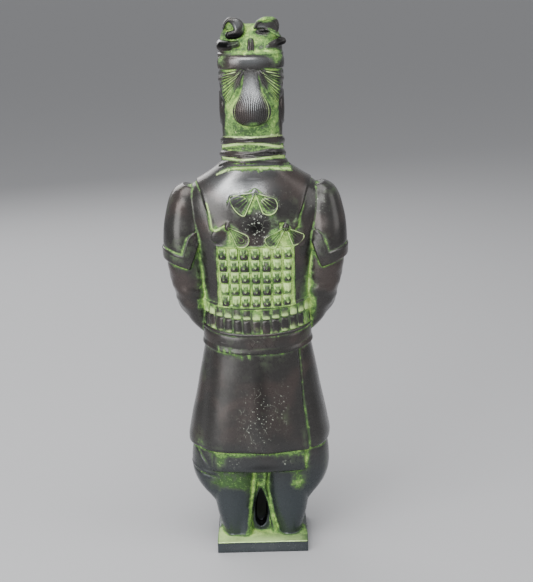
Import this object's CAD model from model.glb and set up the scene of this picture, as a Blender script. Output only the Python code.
# %% [markdown]
# # A cast bronze general, green in its hollows
#
# The real piece is a small sand-cast bronze: a robed and armoured figure on a square plate, made as
# one casting. It was stained brown-black, given a green corrosion, and then wiped, so the green stays
# in every hollow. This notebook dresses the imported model: first the finer form, then what repeats on
# it, then the metal and its patina, and last the floor, the lamps and the camera.
#
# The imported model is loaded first. Its box is kept, because the dressed figure has to stay inside it.

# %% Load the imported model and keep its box
import math

import bmesh
import bpy
import numpy as np
import openvdb
from mathutils import Euler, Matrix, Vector


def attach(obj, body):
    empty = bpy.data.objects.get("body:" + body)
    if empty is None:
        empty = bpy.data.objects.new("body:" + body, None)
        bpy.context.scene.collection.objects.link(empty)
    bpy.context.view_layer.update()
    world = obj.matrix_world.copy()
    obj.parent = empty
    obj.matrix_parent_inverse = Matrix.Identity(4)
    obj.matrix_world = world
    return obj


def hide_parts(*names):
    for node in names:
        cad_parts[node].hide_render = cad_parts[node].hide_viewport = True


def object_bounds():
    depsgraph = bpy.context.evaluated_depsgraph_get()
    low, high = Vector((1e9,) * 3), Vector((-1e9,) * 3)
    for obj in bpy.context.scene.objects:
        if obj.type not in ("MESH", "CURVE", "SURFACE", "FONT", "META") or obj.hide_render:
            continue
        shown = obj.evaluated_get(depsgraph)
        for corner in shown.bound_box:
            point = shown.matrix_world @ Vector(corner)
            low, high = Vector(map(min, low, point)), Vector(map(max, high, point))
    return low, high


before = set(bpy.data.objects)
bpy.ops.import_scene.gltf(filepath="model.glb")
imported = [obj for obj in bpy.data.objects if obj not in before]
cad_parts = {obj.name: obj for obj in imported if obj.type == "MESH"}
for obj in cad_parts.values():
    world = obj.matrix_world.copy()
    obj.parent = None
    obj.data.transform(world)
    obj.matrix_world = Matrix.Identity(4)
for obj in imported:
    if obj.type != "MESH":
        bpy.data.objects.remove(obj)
CAD_LOW, CAD_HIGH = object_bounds()
print("packed model:", [round(1000 * side, 1) for side in CAD_HIGH - CAD_LOW], "mm")

# %% [markdown]
# All places below are in units of which the figure and its plate are 360.1 tall, so one unit is a
# millimetre on this statue. Heights are counted from the top of the plate, the figure faces -Y and its
# left hand is at +X.

# %% Units and the plate
UNITS_TALL = 360.1
UNIT = (CAD_HIGH.z - CAD_LOW.z) / UNITS_TALL
PLATE_HALF_WIDTH, PLATE_HALF_DEPTH, PLATE_THICK = 31.2, 31.0, 8.0
PLATE_EDGE = 0.8


def to_metres(points):
    """Places in units above the plate become places in the frame."""
    return (np.asarray(points) + (0, 0, PLATE_THICK)) * UNIT


def to_units(points):
    return np.asarray(points) / UNIT - (0, 0, PLATE_THICK)


print("one unit is", round(1000 * UNIT, 4), "mm")

# %% [markdown]
# ## Clay
#
# A founder models such a figure in clay or wax: forms are pressed on, smeared together and cut back.
# Boolean modifiers would leave knife-sharp joints. So the clay here is a block of samples, each of which
# holds its distance to the surface (below zero is inside). Pressing a form on keeps the smaller of two
# distances, and rounding that choice over a short blend gives the soft inner corners of a casting.

# %% The clay and how forms are pressed on and cut out
GRAIN = 0.5
MARGIN = 4.0
FAR = 9.0


def grid(low, high):
    """The first sample's number and open x, y and z over a box, for samples a grain apart."""
    first = np.floor(np.divide(low, GRAIN)).astype(int)
    last = np.ceil(np.divide(high, GRAIN)).astype(int) + 1
    axes = [np.arange(a, b, dtype=np.float32) * np.float32(GRAIN) for a, b in zip(first, last)]
    return first, np.ix_(*axes)


def merged(first, second, blend):
    """The smaller of two distances, with a round inner corner of about the blend's size."""
    smaller = np.minimum(first, second)
    if blend > 0:
        near = np.maximum(blend - np.abs(first - second), 0)
        smaller = smaller - near * near / (4 * blend)
    return smaller


class Clay:
    """Distances to a surface on part of the grid."""

    def __init__(self, corner, depth):
        self.corner = np.array(corner)
        self.depth = depth

    def overlap(self, other):
        low = np.maximum(self.corner, other.corner)
        high = np.minimum(self.corner + self.depth.shape, other.corner + other.depth.shape)
        mine = tuple(slice(a, b) for a, b in zip(low - self.corner, high - self.corner))
        theirs = tuple(slice(a, b) for a, b in zip(low - other.corner, high - other.corner))
        return mine, theirs

    def add(self, other, blend=0.8):
        mine, theirs = self.overlap(other)
        self.depth[mine] = merged(self.depth[mine], other.depth[theirs], blend)

    def carve(self, other, blend=0.6):
        mine, theirs = self.overlap(other)
        self.depth[mine] = -merged(-self.depth[mine], other.depth[theirs], blend)


CLAY_LOW, CLAY_HIGH = (-66, -42, -10), (66, 40, 354)
clay_first, clay_axes = grid(CLAY_LOW, CLAY_HIGH)
clay = Clay(clay_first, np.full([axis.size for axis in clay_axes], FAR, np.float32))
print("clay samples:", clay.depth.shape)

# %% [markdown]
# ## Simple forms
#
# Most of the modelling is balls, blocks and limbs. A limb runs through a few points with a radius at
# each one, as a rolled sausage of clay does, and serves for fingers, lids and rims alike.

# %% Balls, blocks and limbs
def turned(turn):
    """The matrix that takes a place into a form turned about X, then Y, then Z."""
    return np.array(Euler(turn).to_matrix(), np.float32).T


def local_axes(centre, reach, turn):
    corner, (x, y, z) = grid(np.subtract(centre, reach + MARGIN), np.add(centre, reach + MARGIN))
    x, y, z = x - np.float32(centre[0]), y - np.float32(centre[1]), z - np.float32(centre[2])
    rows = turned(turn)
    return corner, [row[0] * x + row[1] * y + row[2] * z for row in rows]


def ball(centre, radii, turn=(0, 0, 0)):
    corner, axes = local_axes(centre, max(radii), turn)
    near = np.sqrt(sum((axis / radius) ** 2 for axis, radius in zip(axes, radii)))
    steep = np.sqrt(sum((axis / radius**2) ** 2 for axis, radius in zip(axes, radii)))
    return Clay(corner, near * (near - 1) / np.maximum(steep, 1e-4))


def block(centre, half, turn=(0, 0, 0), edge=0.8):
    corner, axes = local_axes(centre, math.hypot(*half), turn)
    over = [np.abs(axis) - (size - edge) for axis, size in zip(axes, half)]
    outside = np.sqrt(sum(np.maximum(side, 0) ** 2 for side in over))
    inside = np.minimum(np.maximum(np.maximum(over[0], over[1]), over[2]), 0)
    return Clay(corner, outside + inside - edge)


def limb(points, radii):
    """A rolled length of clay through points. One radius may stand for all of them."""
    points = np.array(points, np.float32)
    radii = np.broadcast_to(np.array(radii, np.float32), len(points))
    reach = radii.max() + MARGIN
    corner, axes = grid(points.min(0) - reach, points.max(0) + reach)
    whole = Clay(corner, np.full([axis.size for axis in axes], FAR, np.float32))
    for start, end, first, last in zip(points, points[1:], radii, radii[1:]):
        low, high = np.minimum(start, end) - reach, np.maximum(start, end) + reach
        piece_corner, (x, y, z) = grid(low, high)
        run = end - start
        share = (x - start[0]) * run[0] + (y - start[1]) * run[1] + (z - start[2]) * run[2]
        share = np.clip(share / max(float(run @ run), 1e-6), 0, 1)
        away = (x - start[0] - share * run[0]) ** 2 + (y - start[1] - share * run[1]) ** 2
        away = np.sqrt(away + (z - start[2] - share * run[2]) ** 2)
        whole.add(Clay(piece_corner, away - first - share * (last - first)), 0)
    return whole


print("forms: ball, block, limb")

# %% [markdown]
# ## Garments
#
# Robe, armour, sleeves, trousers and hair are lofts: a few named sections up the body, each a rounded
# square with its own depth before and behind. A smooth curve runs between the sections, so that a handful
# of rows makes a whole skirt. The relief on a garment, such as a lap or a fold, is a function that says
# how far the surface stands out at a place.

# %% Smooth curves between sections
def between(rows, height):
    """Every column of a table of sections at the given heights, on smooth curves."""
    table = np.array(rows, float)
    levels = table[:, 0]
    height = np.clip(height, levels[0], levels[-1])
    index = np.clip(np.searchsorted(levels, height, side="right") - 1, 0, len(levels) - 2)
    before, after = np.maximum(index - 1, 0), np.minimum(index + 2, len(levels) - 1)
    span = levels[index + 1] - levels[index]
    t = (height - levels[index]) / span
    found = []
    for column in table.T[1:]:
        low, high = column[index], column[index + 1]
        slope_in = (high - column[before]) / (levels[index + 1] - levels[before]) * span
        slope_out = (column[after] - low) / (levels[after] - levels[index]) * span
        value = (2 * t**3 - 3 * t**2 + 1) * low + (t**3 - 2 * t**2 + t) * slope_in
        value = value + (3 * t**2 - 2 * t**3) * high + (t**3 - t**2) * slope_out
        found.append(value.astype(np.float32))
    return found


print("sections can be read at any height")

# %% The loft
SQUARENESS = 2.3
RELIEF_REACH = 4.0


def loft(rows, side=1, power=SQUARENESS, drop=0.0, slant=0.0, edge=0.8, relief=None):
    """A garment through sections. Drop lowers a ring before and behind, slant tips it."""
    table = np.array(rows, float)
    middle, widest = table[:, 1].mean(), table[:, 3].max()
    lowest = [(table[:, 1] - table[:, 3]).min(), (table[:, 2] - table[:, 4]).min(), table[0, 0]]
    highest = [(table[:, 1] + table[:, 3]).max(), (table[:, 2] + table[:, 5]).max(), table[-1, 0]]
    spare = np.array([MARGIN, MARGIN, MARGIN + abs(drop) + abs(slant) * widest])
    low, high = np.array(lowest) - spare, np.array(highest) + spare
    if side < 0:
        low[0], high[0] = -high[0], -low[0]
    corner, (x, y, z) = grid(low, high)
    x = x * np.float32(side)
    level = z - np.float32(slant) * (x - np.float32(middle))
    if drop:
        level = level + drop * np.clip(np.abs(y) / table[:, 4:].mean(), 0, 1) ** power
    centre_x, centre_y, half, front, back = between(rows, level)
    across, along = x - centre_x, y - centre_y
    share = (np.abs(across) / half) ** power + (np.abs(along) / np.where(along > 0, back, front)) ** power
    distance = np.sqrt(across**2 + along**2) * (1 - np.maximum(share, 1e-4) ** (-1 / power))
    if relief:
        near = np.abs(distance) < RELIEF_REACH
        distance[near] -= relief(*(np.broadcast_to(axis, distance.shape)[near] for axis in (x, y, z)))
    ends = np.maximum(table[0, 0] - level, level - table[-1, 0])
    return Clay(corner, -merged(-distance, -ends.astype(np.float32), edge))


print("loft ready")

# %% A ribbon drawn out along Y
def ribbon(course, ends, rounding=1.4, steps=36):
    """A thick ribbon seen end on: its course as (x, height, half thickness), drawn out along Y."""
    rows = [(number, *place) for number, place in enumerate(course)]
    xs, heights, halves = between(rows, np.linspace(0, len(course) - 1, steps))
    low = (xs.min() - 2 * MARGIN, ends[0] - MARGIN, heights.min() - 2 * MARGIN)
    high = (xs.max() + 2 * MARGIN, ends[1] + MARGIN, heights.max() + 2 * MARGIN)
    corner, (x, y, z) = grid(low, high)
    across, up = x[:, 0, :], z[0]
    flat = np.full((across.shape[0], up.shape[1]), FAR, np.float32)
    for number in range(steps - 1):
        run = (xs[number + 1] - xs[number], heights[number + 1] - heights[number])
        from_x, from_z = across - xs[number], up - heights[number]
        share = np.clip((from_x * run[0] + from_z * run[1]) / (run[0] ** 2 + run[1] ** 2), 0, 1)
        half = halves[number] + share * (halves[number + 1] - halves[number])
        flat = np.minimum(flat, np.hypot(from_x - share * run[0], from_z - share * run[1]) - half)
    middle, half_depth = sum(ends) / 2, (ends[1] - ends[0]) / 2
    beyond = np.abs(y - np.float32(middle)) - np.float32(half_depth)
    return Clay(corner, -merged(-flat[:, None, :], -beyond, rounding))


print("ribbon ready")

# %% Edges, steps and lines for relief
def edge_at(points, value):
    """Reads an edge given as a few (height, place) points."""
    return np.interp(value, [p[0] for p in points], [p[1] for p in points])


def step(value, width=1.0):
    """Rises from 0 to 1 over a short width as a value passes 0."""
    return np.clip(value / width + 0.5, 0, 1)


def line(value, width):
    """1 along a line, and less on both sides of it."""
    return np.exp(-((value / width) ** 2))


print("relief: edges, steps and lines")

# %% [markdown]
# ## The robes
#
# Two robes show below the armour. The outer one laps over its side panel behind and wraps across
# before, and its folds grow towards the hem. A band of the under robe shows beneath it behind.

# %% Robes
UNDER_ROBE = [
    (47.5, 0, 0, 43.4, 28.6, 29.2), (49.0, 0, 0, 45.4, 30.4, 31.2), (54.0, 0, 0, 46.2, 31.0, 31.7),
    (62.0, 0, 0, 45.4, 30.6, 31.4), (72.0, 0, 0, 44.0, 30.0, 31.0),
]
OUTER_ROBE = [
    (64.0, 0, 0, 46.6, 31.4, 32.4), (65.6, 0, 0, 48.2, 32.8, 33.8), (70.0, 0, 0, 48.9, 33.3, 34.2),
    (78.0, 0, 0, 47.5, 32.6, 33.4), (87.0, 0, 0, 45.8, 31.6, 32.5), (100.0, 0, 0, 42.9, 30.2, 31.0),
    (113.0, 0, 0, 40.5, 28.7, 29.7), (124.0, 0, 0, 38.3, 27.4, 28.5), (134.0, 0, 0, 36.4, 26.4, 27.5),
    (144.0, 0, 0, 35.4, 25.6, 26.8),
]
VENT_EDGE = [(66, -32.8), (75, -32.2), (96, -29.3), (116, -28.0), (131, -26.7)]
WRAP_EDGE = [(66, 12.0), (131, 25.0)]
SOFT_FOLD = [(71, 41.0), (134, 33.0)]
LAP_STEP = 1.7
FOLD_DEPTH = 0.8
HEM_PANEL = ((-30.0, 32.7), (48.6, 66.0))
HEM_PANEL_RISE = 1.2
UNDER_SLITS = (-31.2, -34.4)


def under_robe_relief(x, y, z):
    """The panel behind, and two slits beside it."""
    (right, left), (low, high) = HEM_PANEL
    panel = np.minimum(step(x - right), step(left - x)) * ((y > 0) & (z > low))
    slits = sum(line(x - slit - 0.04 * (60 - z), 0.7) for slit in UNDER_SLITS) * (y > 0)
    pleats = 0.35 * np.cos(11 * np.arctan2(y, x)) * (1 - panel)
    return HEM_PANEL_RISE * panel - 0.9 * slits + pleats


def outer_robe_relief(x, y, z):
    """Folds, and two laps. Each panel goes round a side and tucks under the other one's edge."""
    fullness = np.clip((132 - z) / 132, 0, 1)
    fold = 2 * FOLD_DEPTH * fullness * np.cos(7 * np.arctan2(y, x) + 0.6)
    back = np.clip(y / 26 + 0.5, 0, 1)
    past_vent = x - edge_at(VENT_EDGE, z)
    past_wrap = edge_at(WRAP_EDGE, z) - x
    lap = back * step(past_vent) + (1 - back) * step(past_wrap)
    foot = back * line(past_vent + 1.3, 1.0) + (1 - back) * line(past_wrap + 1.3, 1.0)
    lip = back * line(past_vent - 1.2, 1.1) + (1 - back) * line(past_wrap - 1.2, 1.1)
    valley = line(x - edge_at(SOFT_FOLD, z), 3.2) * (y > 0)
    hem = line(z - 66.4, 1.3)
    return fold + LAP_STEP * (lap - 0.5) - 0.7 * foot + 0.35 * lip - 0.9 * valley + 0.3 * hem


clay.add(loft(UNDER_ROBE, drop=-2.0, relief=under_robe_relief), 0)
clay.add(loft(OUTER_ROBE, relief=outer_robe_relief), 0.5)
print("robes pressed on")

# %% [markdown]
# ## Legs, trousers and shoes
#
# Behind, the trousers bulge out at the sides and the legs go down into the plate. The founder left
# webs of metal between the legs, round a dark closed hollow in the shape of a leaf. Before, square-toed
# shoes show their soles.

# %% Legs and trousers
LEG = [
    (-7.0, 18.8, 5.5, 8.6, 10.4, 14.6), (2.0, 18.8, 5.5, 8.6, 10.4, 14.6),
    (8.0, 18.8, 5.5, 10.4, 11.4, 14.8), (16.0, 18.6, 5.0, 12.8, 13.4, 16.2),
    (28.0, 18.5, 4.0, 14.9, 16.5, 18.4), (38.0, 18.5, 3.0, 15.8, 19.0, 21.0),
    (50.0, 18.5, 2.0, 17.0, 22.0, 24.0),
]
TROUSER = [
    (20.0, 21.0, 1.0, 10.4, 11.0, 10.0), (22.0, 22.0, 1.0, 11.8, 13.0, 11.6),
    (27.0, 25.0, 1.0, 12.4, 17.0, 14.8), (32.0, 27.6, 1.0, 13.7, 20.4, 17.6),
    (38.0, 29.2, 1.0, 15.6, 23.4, 20.0), (45.0, 29.8, 0.5, 17.4, 26.0, 22.4),
    (53.0, 30.0, 0.0, 17.8, 27.0, 24.0), (62.0, 29.6, 0.0, 17.4, 26.0, 24.4),
    (68.0, 29.0, 0.0, 16.0, 24.0, 23.0),
]
LIP_START, LIP_SLOPE = (32.4, 46.0), 0.29
CREASE_START, CREASE_SLOPE = (35.3, 52.5), 1.5


def plain_trouser_relief(x, y, z):
    """Creases that run down and inwards, where the cloth is tied in below the knee."""
    around = np.arctan2(y, x - 28)
    gathered = np.clip((50 - z) / 30, 0, 1)
    return 0.4 * np.cos(9 * around + 0.11 * z) * gathered


def lipped_trouser_relief(x, y, z):
    """The other trouser leg also has a lip along its hem and a steep crease above it, behind."""
    behind = y > 4
    above_lip = z - LIP_START[1] - LIP_SLOPE * (x - LIP_START[0])
    lip = 0.5 * line(above_lip - 0.8, 0.9) - 0.8 * line(above_lip + 1.3, 1.1)
    fade = np.clip((x - 29) / 3, 0, 1) * behind
    crease = line((z - CREASE_START[1] - CREASE_SLOPE * (x - CREASE_START[0])) / 1.8, 0.8)
    crease = crease * ((z > 51) & (z < 66)) * behind
    return plain_trouser_relief(x, y, z) + lip * fade - 0.7 * crease


print("sections:", len(LEG), "of a leg and", len(TROUSER), "of a trouser leg")

# %% Shoes, both legs and the web between them
def shoe(side):
    x = side * 17.6
    lean = side * math.radians(4)
    clay.add(ball((x, 5, 1.0), (9.6, 12, 8)), 1.5)
    clay.add(ball((x + side * 0.6, -9, 0.5), (9.4, 15, 8.4), (0, 0, side * 0.07)), 1.5)
    clay.add(block((x + side * 1.5, -19.0, 1.0), (8.4, 8.2, 3.2), (0, 0, lean), 1.4), 2.0)
    clay.add(block((x + side * 2.0, -26.2, 2.4), (8.0, 1.5, 3.6), (0, 0, lean), 1.1), 1.2)
    sole = [(-10.2, 4.0), (-10.0, -12.0), (-9.0, -26.6), (9.8, -26.6), (10.4, -12.0), (9.8, 4.0)]
    clay.carve(limb([(x + side * 1.4 + a, b, 1.4) for a, b in sole], 0.55), 0.4)
    clay.add(limb([(x - 6.0, -15.5, 4.6), (x + side, -17.0, 5.6), (x + 7.4, -15.5, 4.6)], 0.8), 0.8)


for side, relief in ((1, lipped_trouser_relief), (-1, plain_trouser_relief)):
    clay.add(loft(LEG, side), 1.0)
    clay.add(loft(TROUSER, side, relief=relief), 1.0)
    shoe(side)
WEB = [
    (-7.0, 0.4, 3.0, 12.4, 8.0, 9.6), (4.0, 0.4, 3.0, 11.6, 8.0, 9.4), (14.0, 0.3, 3.0, 8.6, 8.0, 9.8),
    (26.0, -0.2, 3.0, 6.4, 8.0, 10.6), (36.0, -0.4, 3.0, 5.6, 8.0, 13.0), (44.0, 0.0, 3.0, 6.4, 8.0, 17.0),
    (52.0, 0.0, 3.0, 8.0, 8.0, 20.0),
]
clay.add(loft(WEB, power=3.0), 2.5)
print("legs and shoes pressed on")

# %% The webs' ridges and the leaf-shaped hollow between them
WEB_RIDGES = [
    [(3.4, 18.8, 43.0), (4.4, 15.8, 33.0), (6.2, 14.4, 22.0), (8.4, 14.2, 11.0), (10.0, 14.6, 0.0)],
    [(-2.8, 18.8, 43.0), (-1.6, 15.8, 33.0), (-4.6, 14.4, 22.0), (-6.4, 13.8, 12.0), (-8.8, 14.0, 0.0)],
]
LEAF = [(0.4, 31.6, 0.5), (0.7, 26.0, 2.0), (0.4, 17.0, 3.9), (0.9, 9.0, 3.7), (1.0, 5.8, 2.2)]
for ridge in WEB_RIDGES:
    clay.add(limb(ridge, (0.8, 1.0, 1.1, 1.5, 2.2)), 2.2)
clay.add(limb([(11.4, 16.4, 16.0), (11.6, 17.4, 0.0)], (2.6, 4.0)), 3.0)
clay.carve(ribbon(LEAF, (2.0, 22.0), 1.0), 1.2)
print("webs pressed on")

# %% [markdown]
# ## Body armour
#
# The trunk carries a cape over the upper back and chest, a field of small scales, two rows of long plates
# and a plain hem. The scales and plates repeat, so they come later. Here their ground is sunk a little.

# %% The trunk, its cape and its hem
JACKET_BAND = [
    (134.8, 0, 0, 36.4, 27.0, 28.2), (136.2, 0, 0, 37.4, 27.9, 29.2), (141.0, 0, 0, 37.0, 27.6, 29.0),
    (146.6, 0, 0, 36.7, 27.3, 28.6), (148.6, 0, 0, 35.2, 26.2, 27.2),
]
TORSO = [
    (138.0, 0, 0, 35.6, 25.6, 27.0), (150.0, 0, 0, 36.0, 26.2, 27.4), (165.0, 0, 0, 36.4, 27.0, 27.8),
    (180.0, 0, 0, 38.2, 27.6, 28.0), (195.0, 0, 0, 41.0, 28.0, 28.2), (208.0, 0, 0, 44.0, 27.6, 27.8),
    (220.0, 0, 0, 47.0, 26.0, 26.6), (231.0, 0, 0, 48.6, 23.0, 24.4), (239.0, 0, 0, 46.2, 20.4, 22.0),
    (246.0, 0, 0, 38.6, 18.6, 20.2), (252.0, 0, 0, 29.0, 17.6, 19.2), (258.0, 0, 0, 21.0, 16.6, 18.2),
    (264.0, 0, 0, 18.0, 16.0, 17.0),
]
TRUNK_HALF_DEPTH = 28
BAND_DROP = 3.5
YOKE_RISE = 1.3
YOKE_EDGE = [(216, 28.0), (225, 29.6), (230, 31.6), (241.5, 35.0), (248, 39.0)]
YOKE_HEM_BEHIND = [(0, 221.0), (19, 220.4), (22, 218.0), (25.8, 215.4), (28.6, 217.6)]
YOKE_FADE = (206.0, 221.0)
YOKE_HEM_BEFORE = [(0, 207.5), (28, 210.0)]
FIELD_HALF = 25.4
FIELD_BEHIND = (164.0, 205.0)
FIELD_BEFORE = (180.0, 205.0)


def trunk_relief(x, y, z):
    """The cape with a rolled edge, the sunk field of scales and a shallow spine."""
    across = np.abs(x)
    behind = y > 0
    hem = np.where(behind, edge_at(YOKE_HEM_BEHIND, across), edge_at(YOKE_HEM_BEFORE, across))
    side_edge = edge_at(YOKE_EDGE, z) - across
    inside = np.minimum(side_edge, z - hem)
    cape = YOKE_RISE * step(inside) + 0.35 * line(inside - 1.1, 0.9) - 0.5 * line(inside + 1.0, 0.8)
    worn = behind * np.clip((-x - 14) / 4, 0, 1) * np.clip((z - 228) / 6, 0, 1)
    cape = cape * (1 - 0.5 * worn) + 0.5 * YOKE_RISE * worn * step(side_edge, 5.0)
    soft = YOKE_RISE * np.clip((z - YOKE_FADE[0]) / (YOKE_FADE[1] - YOKE_FADE[0]), 0, 1)
    cape = np.where(behind & (across < 16.5), soft, cape)
    low = np.where(behind, FIELD_BEHIND[0], FIELD_BEFORE[0])
    field = np.minimum(FIELD_HALF - across, np.minimum(z - low, FIELD_BEHIND[1] - z))
    frame_line = 0.7 * line(field, 0.6)
    spine = 0.5 * line(x, 6.0) * behind * np.clip((z - 214) / 12, 0, 1)
    return cape - 0.6 * step(field - 0.6) + frame_line - spine


def dip_at(y, depth):
    """How much lower a ring round the trunk lies before and behind than at the sides."""
    return depth * np.clip(np.abs(y) / TRUNK_HALF_DEPTH, 0, 1) ** SQUARENESS


def hem_band_relief(x, y, z):
    level = z + dip_at(y, BAND_DROP)
    return 0.35 * line(level - 136.6, 0.9) - 0.3 * line(level - 139.4, 0.8)


clay.add(loft(TORSO, relief=trunk_relief), 0.5)
clay.add(loft(JACKET_BAND, drop=BAND_DROP, relief=hem_band_relief), 0.4)
print("trunk pressed on")

# %% [markdown]
# The lower part of the trunk's ground is a band that dips behind, on which the long plates lie. A fine
# ridge ends it below.

# %% The belt of long plates: its ground and its lower edge
PLATE_ROW_RISE = 4.0


def ring_round_the_trunk(height, rise, out, turns=96):
    """Points round the trunk that stand out from it, higher at the sides than behind."""
    points = []
    for turn in range(turns + 1):
        angle = 2 * math.pi * turn / turns
        c, s = math.cos(angle), math.sin(angle)
        level = height + rise * c * c
        _, _, half, front, back = between(TORSO, np.array([level]))
        deep = back[0] if s > 0 else front[0]
        x = (half[0] + out) * math.copysign(abs(c) ** (2 / SQUARENESS), c)
        points.append((x, (deep + out) * math.copysign(abs(s) ** (2 / SQUARENESS), s), level))
    return points


clay.add(limb(ring_round_the_trunk(145.0, PLATE_ROW_RISE, 0.4), 1.2), 0.5)
clay.add(limb(ring_round_the_trunk(163.6, PLATE_ROW_RISE, 0.1), 0.9), 0.4)
print("belt edges pressed on")

# %% [markdown]
# ## Arms
#
# Guards cover the shoulders, with a border along their slanting hem. The sleeves hang full, then turn
# forwards, and the hands lie one over the other on the belly.

# %% Shoulder guards and sleeves
SHOULDER_GUARD = [
    (189.4, 46.6, 1.0, 14.0, 18.2, 18.6), (190.6, 46.9, 1.0, 15.0, 19.3, 19.9),
    (200.0, 46.9, 1.0, 15.0, 19.5, 20.1), (212.0, 46.5, 0.5, 14.6, 19.6, 19.8),
    (222.0, 46.0, 0.0, 13.4, 18.4, 18.0), (232.0, 45.2, 0.0, 11.6, 16.2, 16.0),
    (239.0, 44.0, 0.0, 9.0, 13.2, 13.0), (244.0, 42.0, 0.0, 5.5, 9.0, 9.0),
]
SLEEVE = [
    (142.0, 35.2, -6.0, 3.6, 8.0, 7.0), (147.5, 37.2, -6.0, 6.8, 13.0, 11.0),
    (156.0, 40.0, -5.0, 9.3, 16.0, 14.0), (164.0, 42.3, -3.0, 11.0, 17.6, 16.0),
    (172.0, 43.8, -1.0, 12.0, 18.0, 17.0), (181.0, 45.0, 0.0, 12.9, 18.0, 17.5),
    (190.0, 46.0, 1.0, 13.5, 17.6, 17.6), (200.0, 46.0, 1.0, 13.2, 17.0, 17.0),
]
GUARD_SLANT = 0.32
GUARD_BORDER_LEVEL = 197.8
GUARD_REAR_EDGE = [(186.0, 44.6), (196.8, 40.2), (205.8, 36.9)]
GUARD_REAR_BORDER = [(195.0, 49.6), (203.6, 46.9), (210.6, 44.3), (213.6, 40.4), (216.0, 30.0)]


def guard_relief(x, y, z):
    """A raised border along the hem that turns up the rear edge. Past that edge the guard ends."""
    behind = y > 2
    above_hem = GUARD_BORDER_LEVEL - (z - GUARD_SLANT * (x - 45.5))
    before_border = edge_at(GUARD_REAR_BORDER, z) - x
    in_border = np.where(behind, np.maximum(above_hem, before_border), above_hem)
    rim = 0.45 * step(in_border) + 0.25 * line(in_border - 1.0, 0.9) - 0.5 * line(in_border + 0.8, 0.8)
    past_edge = x - edge_at(GUARD_REAR_EDGE, z)
    low = behind & (z < 206.5)
    return rim + low * (0.3 * line(past_edge - 1.0, 0.8) - 3.4 * step(-past_edge, 0.8))


def sleeve_relief(x, y, z):
    """Creases that wrap round the bent elbow from the inside of the arm."""
    bend = np.clip(1 - np.abs(z - 168) / 26, 0, 1)
    waves = np.cos(0.46 * (z + 0.35 * y - 0.3 * x)) + 0.6 * np.cos(0.83 * (z - 0.5 * y) + 1.3)
    return 0.42 * bend * waves


for side in (1, -1):
    clay.add(loft(SLEEVE, side, relief=sleeve_relief), 0.6)
    clay.add(loft(SHOULDER_GUARD, side, slant=GUARD_SLANT, relief=guard_relief), 0.5)
    arm = [(side * 41.0, -5.0, 165.0), (side * 29.5, -19.5, 163.0), (side * 19.5, -25.6, 162.0)]
    clay.add(limb(arm, (13.2, 12.8, 10.2)), 2.0)
    clay.add(ball((side * 27.0, -19.5, 154.5), (14.5, 9.6, 10.5), (0, 0, side * 0.75)), 3.0)
    clay.add(ball((side * 14.6, -28.6, 160.4), (3.4, 9.2, 12.2), (0, 0, side * 0.66)), 0.8)
    clay.carve(ball((side * 12.0, -30.6, 161.2), (2.6, 6.4, 9.0), (0, 0, side * 0.66)), 0.8)
    for drop in (0, 1, 2):
        crease = [
            (side * 37.0, -20.0 + drop, 171.5 - 5.5 * drop), (side * 29.0, -30.6, 168.0 - 6.5 * drop),
            (side * 19.5, -35.4, 166.5 - 5.0 * drop),
        ]
        clay.carve(limb(crease, (0.7, 1.0, 0.5)), 1.6)
print("arms pressed on")

# %% [markdown]
# A ball makes each palm, and limbs through the joints make the fingers. One hand lies over the other, so
# only three fingertips of the lower one show.

# %% Hands
def finger(points, radii):
    """A finger through its joints, with a radius at each."""
    clay.add(limb(points, radii), 0.35)


clay.add(ball((5.0, -30.6, 161.0), (10.0, 4.2, 6.6), (0, 0, 0.1)), 0.8)
clay.add(ball((-4.0, -33.4, 162.0), (10.5, 3.7, 7.0), (0, 0, -0.1)), 0.5)
for number in range(4):
    height = 166.4 - 3.15 * number
    tip = 12.4 - 0.8 * number - 1.2 * (number == 3)
    knuckle, middle, end = (-3.4, -35.7, height), (3.6, -36.0, height - 0.4), (tip, -33.8, height - 1.1)
    joint = ((tip + 3.6) / 2, -35.4, height - 0.7)
    finger([(-9.0, -33.6, height - 0.4), knuckle, middle, joint, end], (1.2, 1.75, 1.5, 1.6, 1.2))
    clay.add(ball(knuckle, (1.9, 1.4, 1.6)), 0.5)
for number in range(3):
    height = 164.2 - 3.2 * number
    finger([(8.0, -32.8, height), (13.4, -32.0, height + 0.2)], (1.6, 1.4))
thumb = [(-8.0, -33.6, 167.0), (-2.4, -35.0, 169.6), (1.6, -34.8, 170.4), (4.6, -33.6, 170.3)]
finger(thumb, (2.0, 1.9, 1.6, 1.4))
print("hands pressed on")

# %% [markdown]
# ## Scarf
#
# Four turns of cloth lie round the neck, lower in front, the second thinner than the rest. Each turn
# swells and thins as it goes round, as rolled cloth does, and one end is tucked in under the chin.

# %% The scarf's turns
# Each turn's height behind, half width, half depth and half thickness
SCARF_TURNS = [
    (274.0, 18.6, 17.2, 2.9), (269.9, 19.0, 17.3, 1.9), (265.8, 19.4, 17.6, 3.0), (259.2, 20.4, 18.4, 3.6),
]
SCARF_CORE = [
    (249.0, 0, 0.4, 25.0, 20.0, 20.6), (256.0, 0, 0.4, 22.2, 18.6, 19.8), (263.0, 0, 0.2, 19.9, 17.8, 18.9),
    (270.0, 0, 0.2, 19.0, 17.0, 18.2), (275.6, 0, 0.4, 18.4, 16.0, 17.6),
]
SCARF_TILT = math.radians(10.0)
# The waves of each turn start this much further round than those of the turn above, in radians
TURN_PHASE = 1.7


def turn_course(height, half_width, half_depth, phase, angle):
    """Where a turn of the scarf runs. It wanders up and down as it goes round."""
    x, y = half_width * math.cos(angle), half_depth * math.sin(angle)
    wander = 0.8 * math.sin(angle + phase) + 0.7 * math.sin(3 * angle + 2 * phase)
    return x, y, height + (y - half_depth) * math.sin(SCARF_TILT) + wander


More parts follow.
